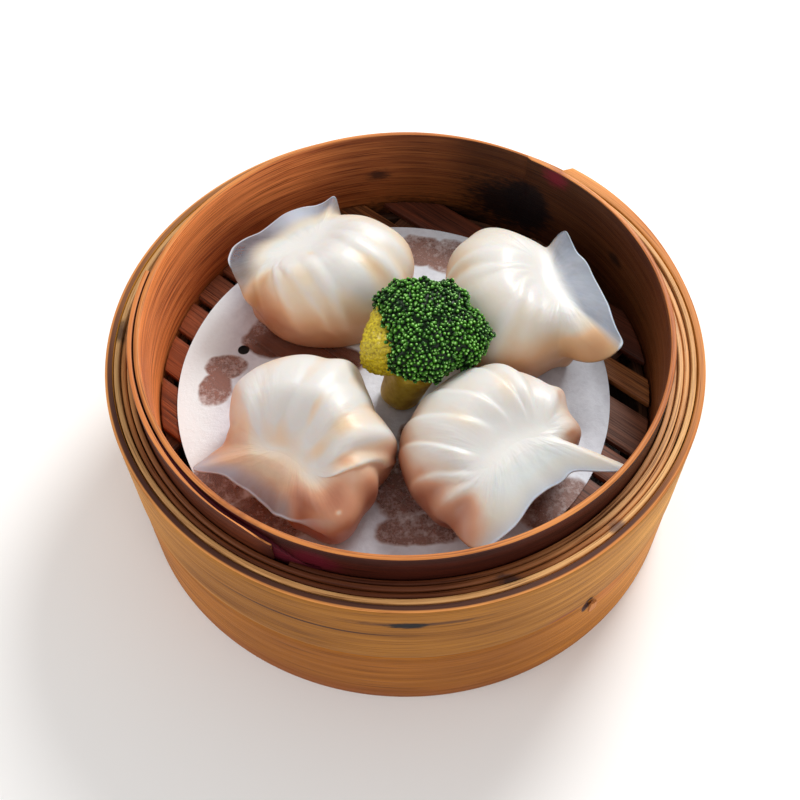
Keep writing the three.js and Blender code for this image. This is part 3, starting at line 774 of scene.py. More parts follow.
def fold_dumpling(d):
    """Points run down rays from the fold line. Ray 0 points out over the fin, ray 180 over the pleated dome,
    and s goes from 0 at the fold over 1 at the belly to 2 at the foot."""
    half = 200
    ears = np.linspace(-90, 90, 2001)
    crowd = 1 + 1.6 * np.exp(-((ears + d["ear1"]) / 12) ** 2) + 1.6 * np.exp(-((ears - d["ear2"]) / 12) ** 2)
    share = np.cumsum(crowd)
    share = (share - share[0]) / (share[-1] - share[0])
    near = np.interp((np.arange(half) + 0.5) / half, share, ears)
    rays = np.concatenate([near, 180 - near[::-1]])[:, None]
    a_rad = np.radians(rays)
    ca, sa = np.cos(a_rad), np.sin(a_rad)
    left = sa < 0
    ox = d["foldX"] + d["foldBow"] * (1 - np.abs(ca) ** 3)
    oy = d["foldHalf"] * sa

    def to_rim(a, b):
        qa = (ca / a) ** 2 + (sa / b) ** 2
        qb = 2 * (ox * ca / a ** 2 + oy * sa / b ** 2)
        qc = (ox / a) ** 2 + (oy / b) ** 2 - 1
        return (-qb + np.sqrt(np.maximum(qb ** 2 - 4 * qa * qc, 1e-9))) / (2 * qa)

    b = np.where(left, d["b1"], d["b2"])
    uneven = 1 + sum(p * np.cos((n + 1) * (a_rad - np.pi)) + q * np.sin((n + 1) * (a_rad - np.pi))
                     for n, (p, q) in enumerate(d["wave"]))
    rim = to_rim(d["a"], b)
    swell = bulges(d["full"], rays)
    belly = rim * uneven + swell
    foot = to_rim(d["a"] * FOOT_SHARE, b * FOOT_SHARE) * uneven + 0.9 * swell
    uneven = belly / rim
    signed = np.where(rays > 180, rays - 360, rays)
    ear = np.where(signed < 0, d["ear1"], d["ear2"])
    web = np.where(signed < 0, d["web1"], d["web2"])
    fin = 1 - rise(np.abs(signed), ear - 5, ear + web)
    toward = np.abs(signed) / ear
    toward = toward / (1 + toward ** 12) ** (1 / 12)
    fin_edge = d["fin"] + (np.where(signed < 0, d["len1"], d["len2"]) - d["fin"]) * toward ** d["sweep"]
    fin_edge = fin_edge + bulges(d["edge"], rays)
    edge_z = d["finZ"] + (np.where(signed < 0, d["earZ1"], d["earZ2"]) - d["finZ"]) * toward ** 2

    def dome(r):
        q = np.sqrt(((ox + r / uneven * ca) / d["a"]) ** 2 + ((oy + r / uneven * sa) / b) ** 2)
        return BELLY_Z + (d["height"] - BELLY_Z) * np.sqrt(np.maximum(1 - np.minimum(q, 1) ** 2.3, 0))

    sink = dome(0 * a_rad) - d["foldZ"]
    top = np.linspace(0, 1, 65)[None, :]
    down = np.sin(top * np.pi / 2)
    r_dome = belly * down
    hollow = r_dome ** 2 / (r_dome + 2.2)
    z_dome = dome(hollow + (r_dome - hollow) * rise(r_dome, 4, 14)) - sink * (1 - rise(r_dome, 0, 14))
    # Next to the fin the skin isn't gathered: it falls away from the fold without rising into the dome first.
    z_plain = BELLY_Z + (d["foldZ"] - BELLY_Z) * np.cos(top * np.pi / 2) ** 0.8
    plain = np.where(signed < 0, d["plain1"], d["plain2"])
    z_dome = z_plain + (z_dome - z_plain) * rise(np.abs(signed), plain - 28, plain + 22)
    r_fin = fin_edge * top
    z_fin = d["foldZ"] + (edge_z - d["foldZ"]) * top ** 1.4
    low = np.linspace(0, 1, 45)[None, 1:]
    r_low = foot + (belly - foot) * np.cos(low * np.pi / 2)
    z_low = BELLY_Z * (1 - np.sin(low * np.pi / 2)) + 0 * a_rad
    tuck = np.minimum(belly, 0.85 * fin_edge)
    under = np.minimum(foot, tuck * 0.9)
    joint = 0.5 * tuck

    def fin_z(r):
        return d["foldZ"] + (edge_z - d["foldZ"]) * np.clip(r / fin_edge, 0, 1) ** 1.4

    # The fin's back runs in to the body, turns down beside the filling and drops to the foot.
    back = np.linspace(0, 1, 15)[None, :]
    turn = np.linspace(0, 1, 14)[None, 1:] * np.pi / 2
    drop = np.linspace(0, 1, 17)[None, 1:] * np.pi / 2
    r_back = fin_edge + (joint - fin_edge) * back
    z_back = fin_z(r_back) - SKIN * (0.45 + 0.55 * back)
    tuck_z = np.minimum(BELLY_Z, 0.5 * fin_z(tuck))
    joint_z = fin_z(joint) - SKIN
    r_turn = joint + (tuck - joint) * np.sin(turn)
    z_turn = tuck_z + (joint_z - tuck_z) * np.cos(turn)
    r_drop = under + (tuck - under) * np.cos(drop)
    z_drop = tuck_z * (1 - np.sin(drop)) + 0 * a_rad
    r_under = np.concatenate([r_back, r_turn, r_drop], 1)[:, -44:]
    z_under = np.concatenate([z_back, z_turn, z_drop], 1)[:, -44:]
    r = np.concatenate([r_dome * (1 - fin) + r_fin * fin, r_low * (1 - fin) + r_under * fin], 1)
    z = np.concatenate([z_dome * (1 - fin) + z_fin * fin, z_low * (1 - fin) + z_under * fin], 1)
    x, y = ox + r * ca, oy + r * sa
    s = np.concatenate([down + 0 * a_rad, 1 + low + 0 * a_rad], 1)

    # Pleats lie between valleys. A valley's ray drifts on its way down. Each pleat has a lip, the raised edge
    # of the fold, and falls off gently behind it; d["soft"] is how far the lip has rounded in the steam.
    turned = rays % 360 + 0 * s
    lines = []
    for v in d["valleys"]:
        down_to = [v[0] - (v[1] - v[0]) * 0.25, *v[:4], v[3] + (v[3] - v[2]) * 0.6]
        line = np.interp(s, (0, 0.1, 0.4, 0.7, 1.05, 1.6), down_to)
        for _ in range(6):
            line[:, 1:-1] = (line[:, :-2] + 2 * line[:, 1:-1] + line[:, 2:]) / 4
        lines.append(line)
    ridge, lip = 0 * s, 0 * s
    for i in range(len(lines) - 1):
        high, peak, reach = d["valleys"][i][4:]
        across = (turned - lines[i]) / np.maximum(lines[i + 1] - lines[i], 1)
        inside = (across > 0) & (across < 1)
        across = np.clip(across, 0, 1)
        up = rise(across, 0, peak)
        fall = np.clip((1 - across) / (1 - peak), 0, 1)
        crisp = np.where(across < peak, up, fall ** 1.25 * (1 + 0.35 * (1 - fall)))
        mellow = np.sin(np.pi * across ** (math.log(0.5) / math.log(peak))) ** 1.3
        fade = rise(r, 0.5, 8) * (1 - rise(s, reach - 0.4, reach + 0.4)) * inside
        ridge = ridge + (crisp + (mellow - crisp) * d["soft"]) * high * fade
        lip = np.maximum(lip, np.where(across < peak, up, fall ** 2.2) * fade * min(1, high / 0.6))
    for _ in range(2):
        ridge = (np.roll(ridge, 1, 0) + 2 * ridge + np.roll(ridge, -1, 0)) / 4
    ridge = ridge * (1 - fin)
    nx, ny, nz = x / d["a"] ** 2, y / b ** 2, (z - BELLY_Z) / (d["height"] - BELLY_Z) ** 2
    size = np.sqrt(nx ** 2 + ny ** 2 + nz ** 2) + 1e-9
    x = x + ridge * nx / size
    y = y + ridge * ny / size
    z = z + ridge * np.maximum(nz / size, -0.2)
    # The fin's edge is pinched thin and ruffles a little, with small creases running out from the fold.
    out = np.clip(r / fin_edge, 0, 1) * (s <= 1.35)
    seed = d["seed"]
    ruffle = 0.5 * np.sin(np.radians(rays) * 7 + seed) + 0.3 * np.sin(np.radians(rays) * 13 + 2 * seed)
    creased = rise(s, 0.05, 0.3) * (1 - rise(s, 0.3, 0.75)) * (s < 1)
    creases = 0.07 * np.sin(np.radians(rays) * 26 + seed) * creased
    z = z + fin * (ruffle * out ** 2 * 0.8 + creases)
    # The steam has softened the fold line: near it every height is an average of the heights around.
    step = np.hypot(np.roll(x, -1, 0) - np.roll(x, 1, 0), np.roll(y, -1, 0) - np.roll(y, 1, 0))
    area = step * np.abs(np.gradient(r, axis=1)) + 1e-6
    few = r[::4, :44:2] < 13
    px, py, pz, pw = (v[::4, :44:2][few] for v in (x, y, z, area))
    near_fold = np.argwhere((r < 9) & (s < 0.85))
    for i in range(0, len(near_fold), 2000):
        a, c = near_fold[i:i + 2000].T
        away = (x[a, c][:, None] - px) ** 2 + (y[a, c][:, None] - py) ** 2
        weight = pw * np.exp(-away / d["smooth"] ** 2)
        calm = (weight * pz).sum(1) / weight.sum(1)
        z[a, c] += (calm - z[a, c]) * (1 - rise(r[a, c], 2.5, 9))
    z = np.maximum(z, 0)
    cy, sy = math.cos(math.radians(d["yaw"])), math.sin(math.radians(d["yaw"]))
    points = np.stack([d["x"] + x * cy - y * sy, d["y"] + x * sy + y * cy, z + FOOD_Z], -1)
    # The thin film is clearest at its edge; it ends at the ears and is milky in the places named in "cloudy".
    clear_to = np.where(signed < 0, d["clearTo"][0], d["clearTo"][1])
    clear = fin * rise(r / fin_edge, d["clearFrom"], d["clearFrom"] + 0.4) * (s < 1.6)
    clear = clear * (1 - rise(np.abs(signed), clear_to, clear_to + 14))
    milky = 0 * s
    for at, wide, much in d["cloudy"]:
        milky = milky + much * np.exp(-((signed - at) / wide) ** 2)
    # The fin's very rim is marked to be painted white: partly the dough's own whiter rim, partly a painted
    # highlight along the edge.
    edge = fin * rise(r / fin_edge, 0.95, 0.985) * (s < 1.2)

    # The warm tone stands partly for the filling seen under the skin and partly for painted shade. It grows low
    # on the sides, which are painted darker as if in shade, and in the valleys; it is less where the skin is
    # doubled in the lips, whose whiteness is partly a painted highlight, and round the fold, and more or less in
    # the places named in "tints". "gold" is for the yellower ones.
    warm_and_shaded = d["warmth_and_shade"] * (1 - rise(z / d["height"], 0.1, 1.05)) + 0.12 * (1 - lip) * rise(s, 0.3, 0.6)
    warm_and_shaded = warm_and_shaded - 0.26 * lip * rise(z / d["height"], 0.2, 0.7) - 0.2 * (1 - rise(r, 3, 11))
    gold = 0 * s
    for at, down_at, wide, tall, more_warm_and_shade, more_gold in d["tints"]:
        spot = np.exp(-((((rays - at + 180) % 360 - 180) / wide) ** 2 + ((s - down_at) / tall) ** 2))
        warm_and_shaded = warm_and_shaded + more_warm_and_shade * spot
        gold = gold + more_gold * spot
    return points, s, dict(clear=clear, edge=edge, milky=milky, warm_and_shaded=warm_and_shaded, gold=gold)


def skin_mesh(name, d):
    points, s, tones = fold_dumpling(d)
    columns, rows = s.shape
    index = np.arange(columns * rows).reshape(columns, rows)
    for j in range(columns // 2):
        index[columns - 1 - j, 0] = index[j, 0]
    vertices = [tuple(p) for p in points.reshape(-1, 3) * MM]
    vertices.append((d["x"] * MM, d["y"] * MM, FOOD_Z * MM))
    faces, corners = [], []
    for i in range(columns):
        k = (i + 1) % columns
        for j in range(rows - 1):
            loop = [index[i, j], index[i, j + 1], index[k, j + 1], index[k, j]]
            where = [(i, j), (i, j + 1), (i + 1, j + 1), (i + 1, j)]
            kept = [n for n in range(4) if loop[n] not in loop[:n]]
            if len(kept) > 2:
                faces.append([int(loop[n]) for n in kept])
                corners += [where[n] for n in kept]
        faces.append([int(index[i, rows - 1]), len(vertices) - 1, int(index[k, rows - 1])])
        corners += [(i, rows - 1), (i, rows), (i + 1, rows - 1)]
    mesh = bpy.data.meshes.new(name)
    mesh.from_pydata(vertices, [], faces)
    dumpling = bpy.data.objects.new(name, mesh)
    scene.collection.objects.link(dumpling)
    uv = mesh.uv_layers.new(name="skin")
    for loop, (i, j) in zip(uv.data, corners):
        loop.uv = (i / columns, s[0, min(j, rows - 1)] / 2)
    for key, values in tones.items():
        layer = mesh.attributes.new(key, "FLOAT", "POINT")
        layer.data.foreach_set("value", np.append((values + 0 * s).reshape(-1), 0.0).astype(np.float32))
    bpy.ops.object.select_all(action="DESELECT")
    dumpling.select_set(True)
    bpy.context.view_layer.objects.active = dumpling
    bpy.ops.object.mode_set(mode="EDIT")
    bpy.ops.mesh.select_all(action="SELECT")
    bpy.ops.mesh.delete_loose()
    bpy.ops.object.mode_set(mode="OBJECT")
    bpy.ops.object.shade_smooth()
    return dumpling


def dough(name, pale, warm_and_shaded, deep, fin_tone, thin):
    """Steamed starch skin: milky, glossy, warmer where the filling shows and darker where painted shade lies on
    its low sides; thin is how opaque its fin is.
    """
    material, tree, shader = new_material(name)
    place = in_place(tree)
    tone = {key: marked(tree, key) for key in ("clear", "edge", "milky", "warm_and_shaded", "gold")}
    lumps = plus(tree, grain(tree, place, (110, 110, 110), 2.0, 0.5), -0.5)
    filling = plus(tree, tone["warm_and_shaded"], times(tree, lumps, 0.34))
    shades = [(0.04, paint(213, 211, 208)), (0.34, paint(*pale)), (0.64, paint(*warm_and_shaded)), (0.98, paint(*deep))]
    colour = blend(tree, tone["gold"], ramp(tree, filling, shades), paint(220, 188, 130))
    skin_uv = on_map(tree, "skin")
    clots = grain(tree, place, (240, 240, 240), 3.0, 0.6)
    strands = plus(tree, grain(tree, skin_uv, (90, 8, 1), 3.0, 0.6), clots)
    strands = ramp(tree, times(tree, strands, 0.5), [(0.3, (0, 0, 0)), (0.8, (0.5, 0.5, 0.5))])
    film = blend(tree, strands, paint(*fin_tone), paint(214, 219, 230))
    film = blend(tree, tone["milky"], film, paint(206, 214, 228))
    colour = blend(tree, tone["clear"], colour, film)
    # The rim of the fin is painted near white: partly its own colour, partly a painted highlight.
    colour = blend(tree, tone["edge"], colour, paint(222, 227, 236))
    tree.links.new(colour, shader.inputs["Base Color"])
    shader.inputs["Subsurface Weight"].default_value = 0.6
    shader.inputs["Subsurface Radius"].default_value = (1.0, 0.58, 0.36)
    shader.inputs["Subsurface Scale"].default_value = 0.0042
    shader.inputs["Roughness"].default_value = 0.46
    shader.inputs["Specular IOR Level"].default_value = 0.4
    shader.inputs["Coat Weight"].default_value = 0.1
    shader.inputs["Coat Roughness"].default_value = 0.2
    # Fine gathers run out from the fold and fade towards the belly, over a faint overall roughness.
    gathers = grain(tree, skin_uv, (34, 3.5, 1), 2.0, 0.5)
    fading = [(0.08, (0, 0, 0)), (0.22, (1, 1, 1)), (0.32, (0.8, 0.8, 0.8)), (0.5, (0, 0, 0))]
    shown = ramp(tree, parts_of(tree, skin_uv)[1], fading)
    pores = times(tree, grain(tree, place, (600, 600, 600), 3.0, 0.5), 0.1)
    roughen(tree, shader, plus(tree, times(tree, gathers, shown), pores), 0.4, 0.0012)
    whole = reckon(tree, "MAXIMUM", tone["edge"], times(tree, tone["milky"], 0.9))
    veil = plus(tree, thin, times(tree, whole, 0.9 - thin))
    tree.links.new(between(tree, tone["clear"], 0.0, 1.0, 1.0, veil, soft=False), shader.inputs["Alpha"])
    return material


# Sizes in millimetres and rays in degrees. "full" lists where the prawn pushes the belly out or the skin is
# drawn in, "edge" where the fin is pinched longer or shorter. A valley is its ray at four places down the
# side, then how high the pleat after it stands, where its lip lies between this valley and the next, and how
# far down it reaches. A tint is its ray, its place down the side, its half-width in degrees, its half-height,
# and how much warmer and more golden it is.
# Warmer tints low on a side are partly painted shade, where that side is out of the lamp's light.
dumplings = {
    "dumpling_back_left": dict(
        x=-20.75, y=24.34, yaw=129.6, a=21.06, b1=24.24, b2=22.3, height=26.4, foldX=9.2, foldZ=20.2,
        foldHalf=6.14, foldBow=1.9, fin=18.25, len1=19, len2=17.6, sweep=6, ear1=52.6, ear2=62.4, finZ=15,
        earZ1=16.1, earZ2=21, web1=18.7, web2=55, wave=[(-.07, .04), (-.02, .03), (-.01, .03), (.01, .02)],
        seed=11, clearFrom=0.42, clearTo=(62, 84), cloudy=[(-16, 26, 0.9)], soft=0.8, plain1=70, plain2=108,
        smooth=1.9, warmth_and_shade=0.75,
        full=[(94, 12, 3), (211, 7, -1), (232, 11, 1.2), (255, 11, .6)],
        edge=[(-61, 7, -1.1), (-50, 5, 1.8), (-35, 9, -1.7), (-12, 9, .4), (17, 9, -1), (37, 9, .8),
              (82, 11, .9)],
        valleys=[(56, 68, 82, 114, .28, .35, 1.4), (92, 102, 120, 137, .3, .4, 1.3),
                 (104, 117, 138, 158, .38, .45, 1.1), (138, 147, 155, 165, .45, .55, 1),
                 (168, 166, 168, 172, .65, .5, 1), (210, 195, 195, 195, .6, .45, 1.1),
                 (232, 216, 212, 205, .4, .45, 1.2), (255, 243, 233, 225, 0, .5, 1)],
        tints=[(165, .55, 5, .25, -.25, 0), (164, .22, 5, .07, .2, .35), (194, .72, 5, .18, .3, .2),
               (20, .35, 60, .3, -.2, 0), (145, .67, 14, .2, .12, .2), (118, .98, 20, .22, .42, 0),
               (150, 1.14, 30, .2, .1, .1), (104, .89, 8, .15, .25, .3), (107, .67, 8, .2, .25, 0),
               (189, .24, 12, .15, -.2, 0)]),
    "dumpling_back_right": dict(
        x=28.54, y=11.7, yaw=14.2, a=21.18, b1=19.02, b2=26.63, height=28, foldX=11.1, foldZ=22.1,
        foldHalf=6.03, foldBow=1.9, fin=15.7, len1=21.5, len2=19.5, sweep=1.9, ear1=56.4, ear2=56.2,
        finZ=16.9, earZ1=17, earZ2=16.7, web1=55, web2=19.3, wave=[(-.05, -.03), (-.06, 0), (.01, .02), (0, .02)],
        seed=23, clearFrom=0.08, clearTo=(50, 62), cloudy=[(-5, 45, 0.3)], soft=0.7, plain1=102, plain2=75,
        smooth=1.6, warmth_and_shade=0.7,
        full=[(115, 11, 2.6), (138, 10, 1.1), (163, 9, -1.3), (244, 12, -.8), (279, 18, 2.5)],
        edge=[(-84, 20, 2.4), (-51, 6, .7), (-34, 13, -1), (-3, 22, -.4), (33, 11, -1.5), (59, 9, 2.8)],
        valleys=[(122, 134, 145, 155, .5, .45, 1.3), (146, 163, 160, 158, .5, .45, 1.1),
                 (157, 172, 174, 175, .4, .35, 1.1), (160, 196, 201, 204, .6, .5, 1.0),
                 (182, 208, 214, 218, .4, .45, .7), (205, 222, 228, 232, .35, .45, .5),
                 (236, 240, 242, 244, .35, .5, .5), (266, 252, 250, 250, .4, .5, .7),
                 (298, 292, 288, 286, 0, .5, 1)],
        tints=[(235, .9, 30, .15, .1, .15), (264, .97, 14, .12, .15, .1), (290, .95, 24, .16, .5, .1),
               (156, .83, 14, .15, .2, .2), (184, .67, 12, .2, .15, .15), (215, .65, 12, .2, .15, .1),
               (210, .2, 50, .2, -.1, 0), (0, .3, 60, .3, .12, 0)]),
    "dumpling_front_left": dict(
        x=-23.43, y=-28.35, yaw=-122.7, a=19.04, b1=25.7, b2=24.6, height=28, foldX=9.7, foldZ=17.9,
        foldHalf=6, foldBow=1.9, fin=13.9, len1=20.8, len2=16, sweep=3.3, ear1=46.8, ear2=22, finZ=12.4,
        earZ1=15.4, earZ2=12, web1=40, web2=40, wave=[(-.06, .06), (.04, .02), (.04, .04), (0, .01)],
        seed=5, clearFrom=0.55, clearTo=(54, 16), cloudy=[(-44, 22, 0.7)], soft=0.5, plain1=92, plain2=88,
        smooth=2.2, warmth_and_shade=0.8,
        full=[(42, 25, 5.6), (71, 24, 5.5), (126, 9, -1.8), (140, 7, 1.7), (163, 8, -1.6), (184, 8, 2.5),
              (224, 9, .6), (240, 7, 1), (261, 8, -1.2), (281, 9, .6)],
        edge=[(-59, 8, -1.5), (-47, 5, 2.3), (-37, 8, -1.3), (-18, 20, -1), (12, 6, .9), (38, 17, -2)],
        valleys=[(74, 93, 111, 133, 1.2, .22, 1.9), (101, 114, 127, 138, .8, .34, 1.4),
                 (145, 149, 156, 160, .6, .43, 1.2), (180, 175, 174, 174, .6, .48, 1.1),
                 (214, 198, 194, 192, .6, .3, 1.2), (242, 228, 222, 220, .5, .5, 1.3),
                 (272, 256, 250, 250, 0, .5, 1)],
        tints=[(203, .5, 6, .2, -.2, 0), (227, .72, 7, .15, -.2, 0), (175, .7, 7, .15, -.2, 0),
               (176, .32, 4, .1, .3, .1), (147, .52, 9, .18, .15, .4), (142, .2, 12, .12, .35, .2),
               (117, .58, 8, .18, .35, .1), (75, .65, 30, .3, .35, 0), (106, .98, 10, .15, .2, 0),
               (33, .82, 15, .2, .3, 0), (68, .82, 3, .03, -.5, 0), (52, .95, 12, .12, -.35, 0),
               (210, .12, 30, .12, .3, 0), (275, .55, 20, .25, .1, 0), (-10, .4, 50, .35, .18, 0),
               (262, .95, 24, .3, -.2, 0)]),
    "dumpling_front_right": dict(
        x=19.99, y=-28.45, yaw=-55.8, a=20.16, b1=23.18, b2=24.58, height=26.8, foldX=9.5, foldZ=21.9,
        foldHalf=8.1, foldBow=2.5, fin=14.5, len1=23.5, len2=26.5, sweep=1.6, ear1=43, ear2=41.2, finZ=18.6,
        earZ1=15.9, earZ2=17, web1=55, web2=13.8, wave=[(-.07, .08), (-.04, 0), (0, 0), (.02, -.02)],
        seed=17, clearFrom=0.72, clearTo=(40, 60), cloudy=[], soft=0.25, plain1=100, plain2=72,
        smooth=2.4, warmth_and_shade=0.9,
        full=[(80, 18, 2.9), (119, 7, 2.6), (136, 9, -1.3), (160, 8, .5), (214, 10, .8), (272, 19, 3.2)],
        edge=[(-26, 9, 1), (-2, 7, .5), (23, 9, -3.4), (44, 8, 3.6)],
        valleys=[(90, 100, 114, 124, .9, .6, 1.3), (128, 136, 143, 150, .9, .45, 1.3),
                 (140, 153, 162, 170, .95, .18, 1.2), (163, 177, 187, 192, .95, .15, 1.1),
                 (185, 200, 205, 207, .95, .15, 1), (230, 227, 222, 218, .95, .14, .95),
                 (283, 252, 241, 236, .55, .25, 1.1), (300, 280, 260, 250, .4, .4, 1.2),
                 (320, 312, 300, 290, 0, .5, 1)],
        tints=[(161, .45, 6, .15, .1, .3), (202, .42, 6, .15, .1, .25), (67, .79, 8, .12, .35, 0),
               (119, .69, 5, .12, .25, 0), (258, .88, 20, .22, .35, 0), (295, .86, 18, .22, .45, 0),
               (218, .95, 16, .16, .2, 0), (0, .5, 46, .5, -.5, 0)]),
}
doughs = {
    "dumpling_back_left": ((217, 202, 181), (206, 168, 134), (168, 114, 80), (92, 94, 104), 0.36),
    "dumpling_back_right": ((211, 203, 190), (212, 174, 138), (182, 134, 96), (140, 144, 156), 0.42),
    "dumpling_front_left": ((222, 198, 174), (212, 158, 126), (176, 108, 80), (172, 148, 144), 0.5),
    "dumpling_front_right": ((212, 198, 184), (198, 150, 122), (156, 96, 70), (200, 203, 210), 0.88),
}
for name, sizes in dumplings.items():
    place_name = name[len("dumpling_"):]
    dumpling = skin_mesh("skin_" + place_name, sizes)
    dumpling.data.materials.append(dough("dough_" + place_name, *doughs[name]))
    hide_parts(name)
    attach(dumpling, "root")


# ---- broccoli floret ----
# One blanched floret stands between the dumplings. Its pale flesh and round stem are one piece, rough and
# yellow on the left where it was cut from the head; the crown is a blunt cushion packed with thousands of wet
# green buds.
CROWN = Vector((6.55, -4.39, 62.76))
CROWN_OUTLINE = [15.9, 12.5, 15.0, 14.5, 15.7, 15.8, 13.5, 13.3, 14.9, 14.6, 11.7, 14.8]
CROWN_UP, CROWN_DOWN = 9.1, 3.1
CROWN_TILT = Matrix.Rotation(math.radians(9.22), 4, "Y") @ Matrix.Rotation(math.radians(7.36), 4, "X")
STEM_FOOT = Vector((-2.0, -7.6, 38.5))
CUT_SIDE = Vector((-4.8, -4.6, 61))
STEM_FOOT_Z = 38.45


def on_crown(direction, inset):
    """Where a direction from the crown's middle meets its uneven cushion, in millimetres."""
    turn = math.atan2(direction.y, direction.x) / (2 * math.pi) * 12
    step, part = int(math.floor(turn)) % 12, turn - math.floor(turn)
    part = part * part * (3 - 2 * part)
    reach = CROWN_OUTLINE[step] * (1 - part) + CROWN_OUTLINE[(step + 1) % 12] * part - inset
    lift = (CROWN_UP if direction.z > 0 else CROWN_DOWN) - inset
    knobs = 1 + 0.05 * math.sin(1.9 * direction.x * 7 + 0.5) * math.sin(1.7 * direction.y * 7 + 1.2)
    knobs += 0.025 * math.sin(19 * direction.x + 2) * math.sin(21 * direction.y + 9 * direction.z)
    full = 1.0
    if math.hypot(direction.x, direction.y):
        full = (abs(direction.x) ** 2.4 + abs(direction.y) ** 2.4 + abs(direction.z) ** 2.4) ** (-1 / 2.4)
    point = Vector((direction.x * reach, direction.y * reach, direction.z * lift)) * full * knobs
    # The buds stand in small tufts with clefts between them.
    tuft = min(0.0, noise.noise(point * 0.36) + 0.12) * 2.2 + noise.noise(point * 0.8) * 0.45
    return CROWN_TILT @ (point + direction * tuft) + CROWN


def stalk(start, end, first, last):
    """A round stalk with a slightly ribbed, tapering side."""
    bpy.ops.mesh.primitive_cylinder_add(vertices=40, radius=1, depth=1, location=(0, 0, 0))
    branch = bpy.context.object
    bpy.ops.object.mode_set(mode="EDIT")
    bpy.ops.mesh.select_all(action="DESELECT")
    shaft = bmesh.from_edit_mesh(branch.data)
    for edge in shaft.edges:
        edge.select_set(abs(edge.verts[0].co.z - edge.verts[1].co.z) > 0.5)
    bmesh.update_edit_mesh(branch.data)
    bpy.ops.mesh.subdivide(number_cuts=12)
    bpy.ops.object.mode_set(mode="OBJECT")
    axis = end - start
    turned = axis.to_track_quat("Z", "Y").to_matrix()
    for vertex in branch.data.vertices:
        along = vertex.co.z + 0.5
        around = math.atan2(vertex.co.y, vertex.co.x)
        width = first + (last - first) * along ** 1.5 + 0.12 * math.sin(5 * around + 3 * along)
        width *= 1 - 0.10 * (1 - ease(along, 0, 0.12))
        flat = Vector((vertex.co.x * width, vertex.co.y * width, along * axis.length))
        vertex.co = (turned @ flat + start) * MM
    return branch


bpy.ops.object.select_all(action="DESELECT")
fork = STEM_FOOT.lerp(CROWN, 0.5)
branches = [stalk(STEM_FOOT, fork, 5.7, 7.0)]
for dx, dy in ((-7, 1), (1, -6), (6, -1), (0, 5)):
    branches.append(stalk(fork.lerp(STEM_FOOT, 0.3), CROWN + Vector((dx, dy, -1.5)), 3.8, 5.0))
bpy.ops.object.select_all(action="DESELECT")
bpy.ops.mesh.primitive_ico_sphere_add(subdivisions=4, radius=1, location=(0, 0, 0))
wedge = bpy.context.object
lean = Matrix.Rotation(math.radians(-18), 3, "Z")
for vertex in wedge.data.vertices:
    square = max(abs(vertex.co.x), abs(vertex.co.y), abs(vertex.co.z)) ** 0.5
    blunt = Vector((vertex.co.x * 5.6, vertex.co.y * 9.5, vertex.co.z * 7.4)) / square
    vertex.co = (lean @ blunt + CUT_SIDE) * MM
for branch in branches:
    branch.select_set(True)
bpy.context.view_layer.objects.active = wedge
bpy.ops.object.join()
flesh = bpy.context.object
flesh.name = "floret_stem"
grow = flesh.modifiers.new("grown_together", "REMESH")
grow.mode = "VOXEL"
grow.voxel_size = 0.42 * MM
bpy.ops.object.modifier_apply(modifier="grown_together")
soften = flesh.modifiers.new("soft_forks", "SMOOTH")
soften.iterations = 6
bpy.ops.object.modifier_apply(modifier="soft_forks")
for vertex in flesh.data.vertices:
    p = vertex.co / MM
    torn = ease(p.z, 53, 57)
    crumb = noise.noise(p * 0.9) * 0.5 + noise.noise(p * 2.1) * 0.35
    vertex.co = vertex.co + vertex.normal * crumb * (0.08 + 0.95 * torn) * MM
    vertex.co.z = max(vertex.co.z, STEM_FOOT_Z * MM)
flesh.data.update()
bpy.ops.object.shade_smooth()

stem_green, tree, shader = new_material("floret_flesh")
place = in_place(tree)
up = between(tree, parts_of(tree, place)[2], 51 * MM, 56 * MM)
mottle = grain(tree, place, (260, 260, 260), 3.0, 0.6)
crumbs = grain(tree, place, (1300, 1300, 1300), 3.0, 0.6)
stem_skin = ramp(tree, mottle, [(0.35, paint(188, 158, 30)), (0.68, paint(226, 202, 80))])
torn_flesh = ramp(tree, crumbs, [(0.32, paint(140, 116, 4)), (0.62, paint(204, 184, 30))])
tree.links.new(blend(tree, up, stem_skin, torn_flesh), shader.inputs["Base Color"])
shader.inputs["Roughness"].default_value = 0.42
shader.inputs["Subsurface Weight"].default_value = 0.3
shader.inputs["Subsurface Radius"].default_value = (0.8, 0.8, 0.2)
shader.inputs["Subsurface Scale"].default_value = 0.002
roughen(tree, shader, crumbs, 0.5, 0.0003)
flesh.data.materials.append(stem_green)
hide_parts("broccoli_floret")
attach(flesh, "root")

# The cushion that the buds sit on, then one bud, modelled once and set all over it, none closer than BUD_GAP.
BUD_GAP, BUD_R, BUD_H = 0.86, 0.56, 0.62
SUNK = 0.35
bpy.ops.object.select_all(action="DESELECT")
bpy.ops.mesh.primitive_ico_sphere_add(subdivisions=5, radius=1, location=(0, 0, 0))
crown = bpy.context.object
crown.name = "floret_buds"
for vertex in crown.data.vertices:
    vertex.co = on_crown(vertex.co.normalized(), SUNK) * MM
bpy.ops.mesh.primitive_ico_sphere_add(subdivisions=2, radius=1, location=(0, 0, 0))
bud = bpy.context.object
bpy.ops.object.mode_set(mode="EDIT")
bpy.ops.mesh.select_all(action="DESELECT")
low_half = bmesh.from_edit_mesh(bud.data)
for face in low_half.faces:
    face.select_set(face.calc_center_median().z < -0.45)
bmesh.update_edit_mesh(bud.data)
bpy.ops.mesh.delete(type="FACE")
bpy.ops.mesh.select_all(action="SELECT")
bpy.ops.mesh.region_to_loop()
bpy.ops.mesh.edge_face_add()
bpy.ops.object.mode_set(mode="OBJECT")
bud_points = np.array([v.co[:] for v in bud.data.vertices])
bud_faces = [list(f.vertices) for f in bud.data.polygons]
bpy.data.objects.remove(bud)

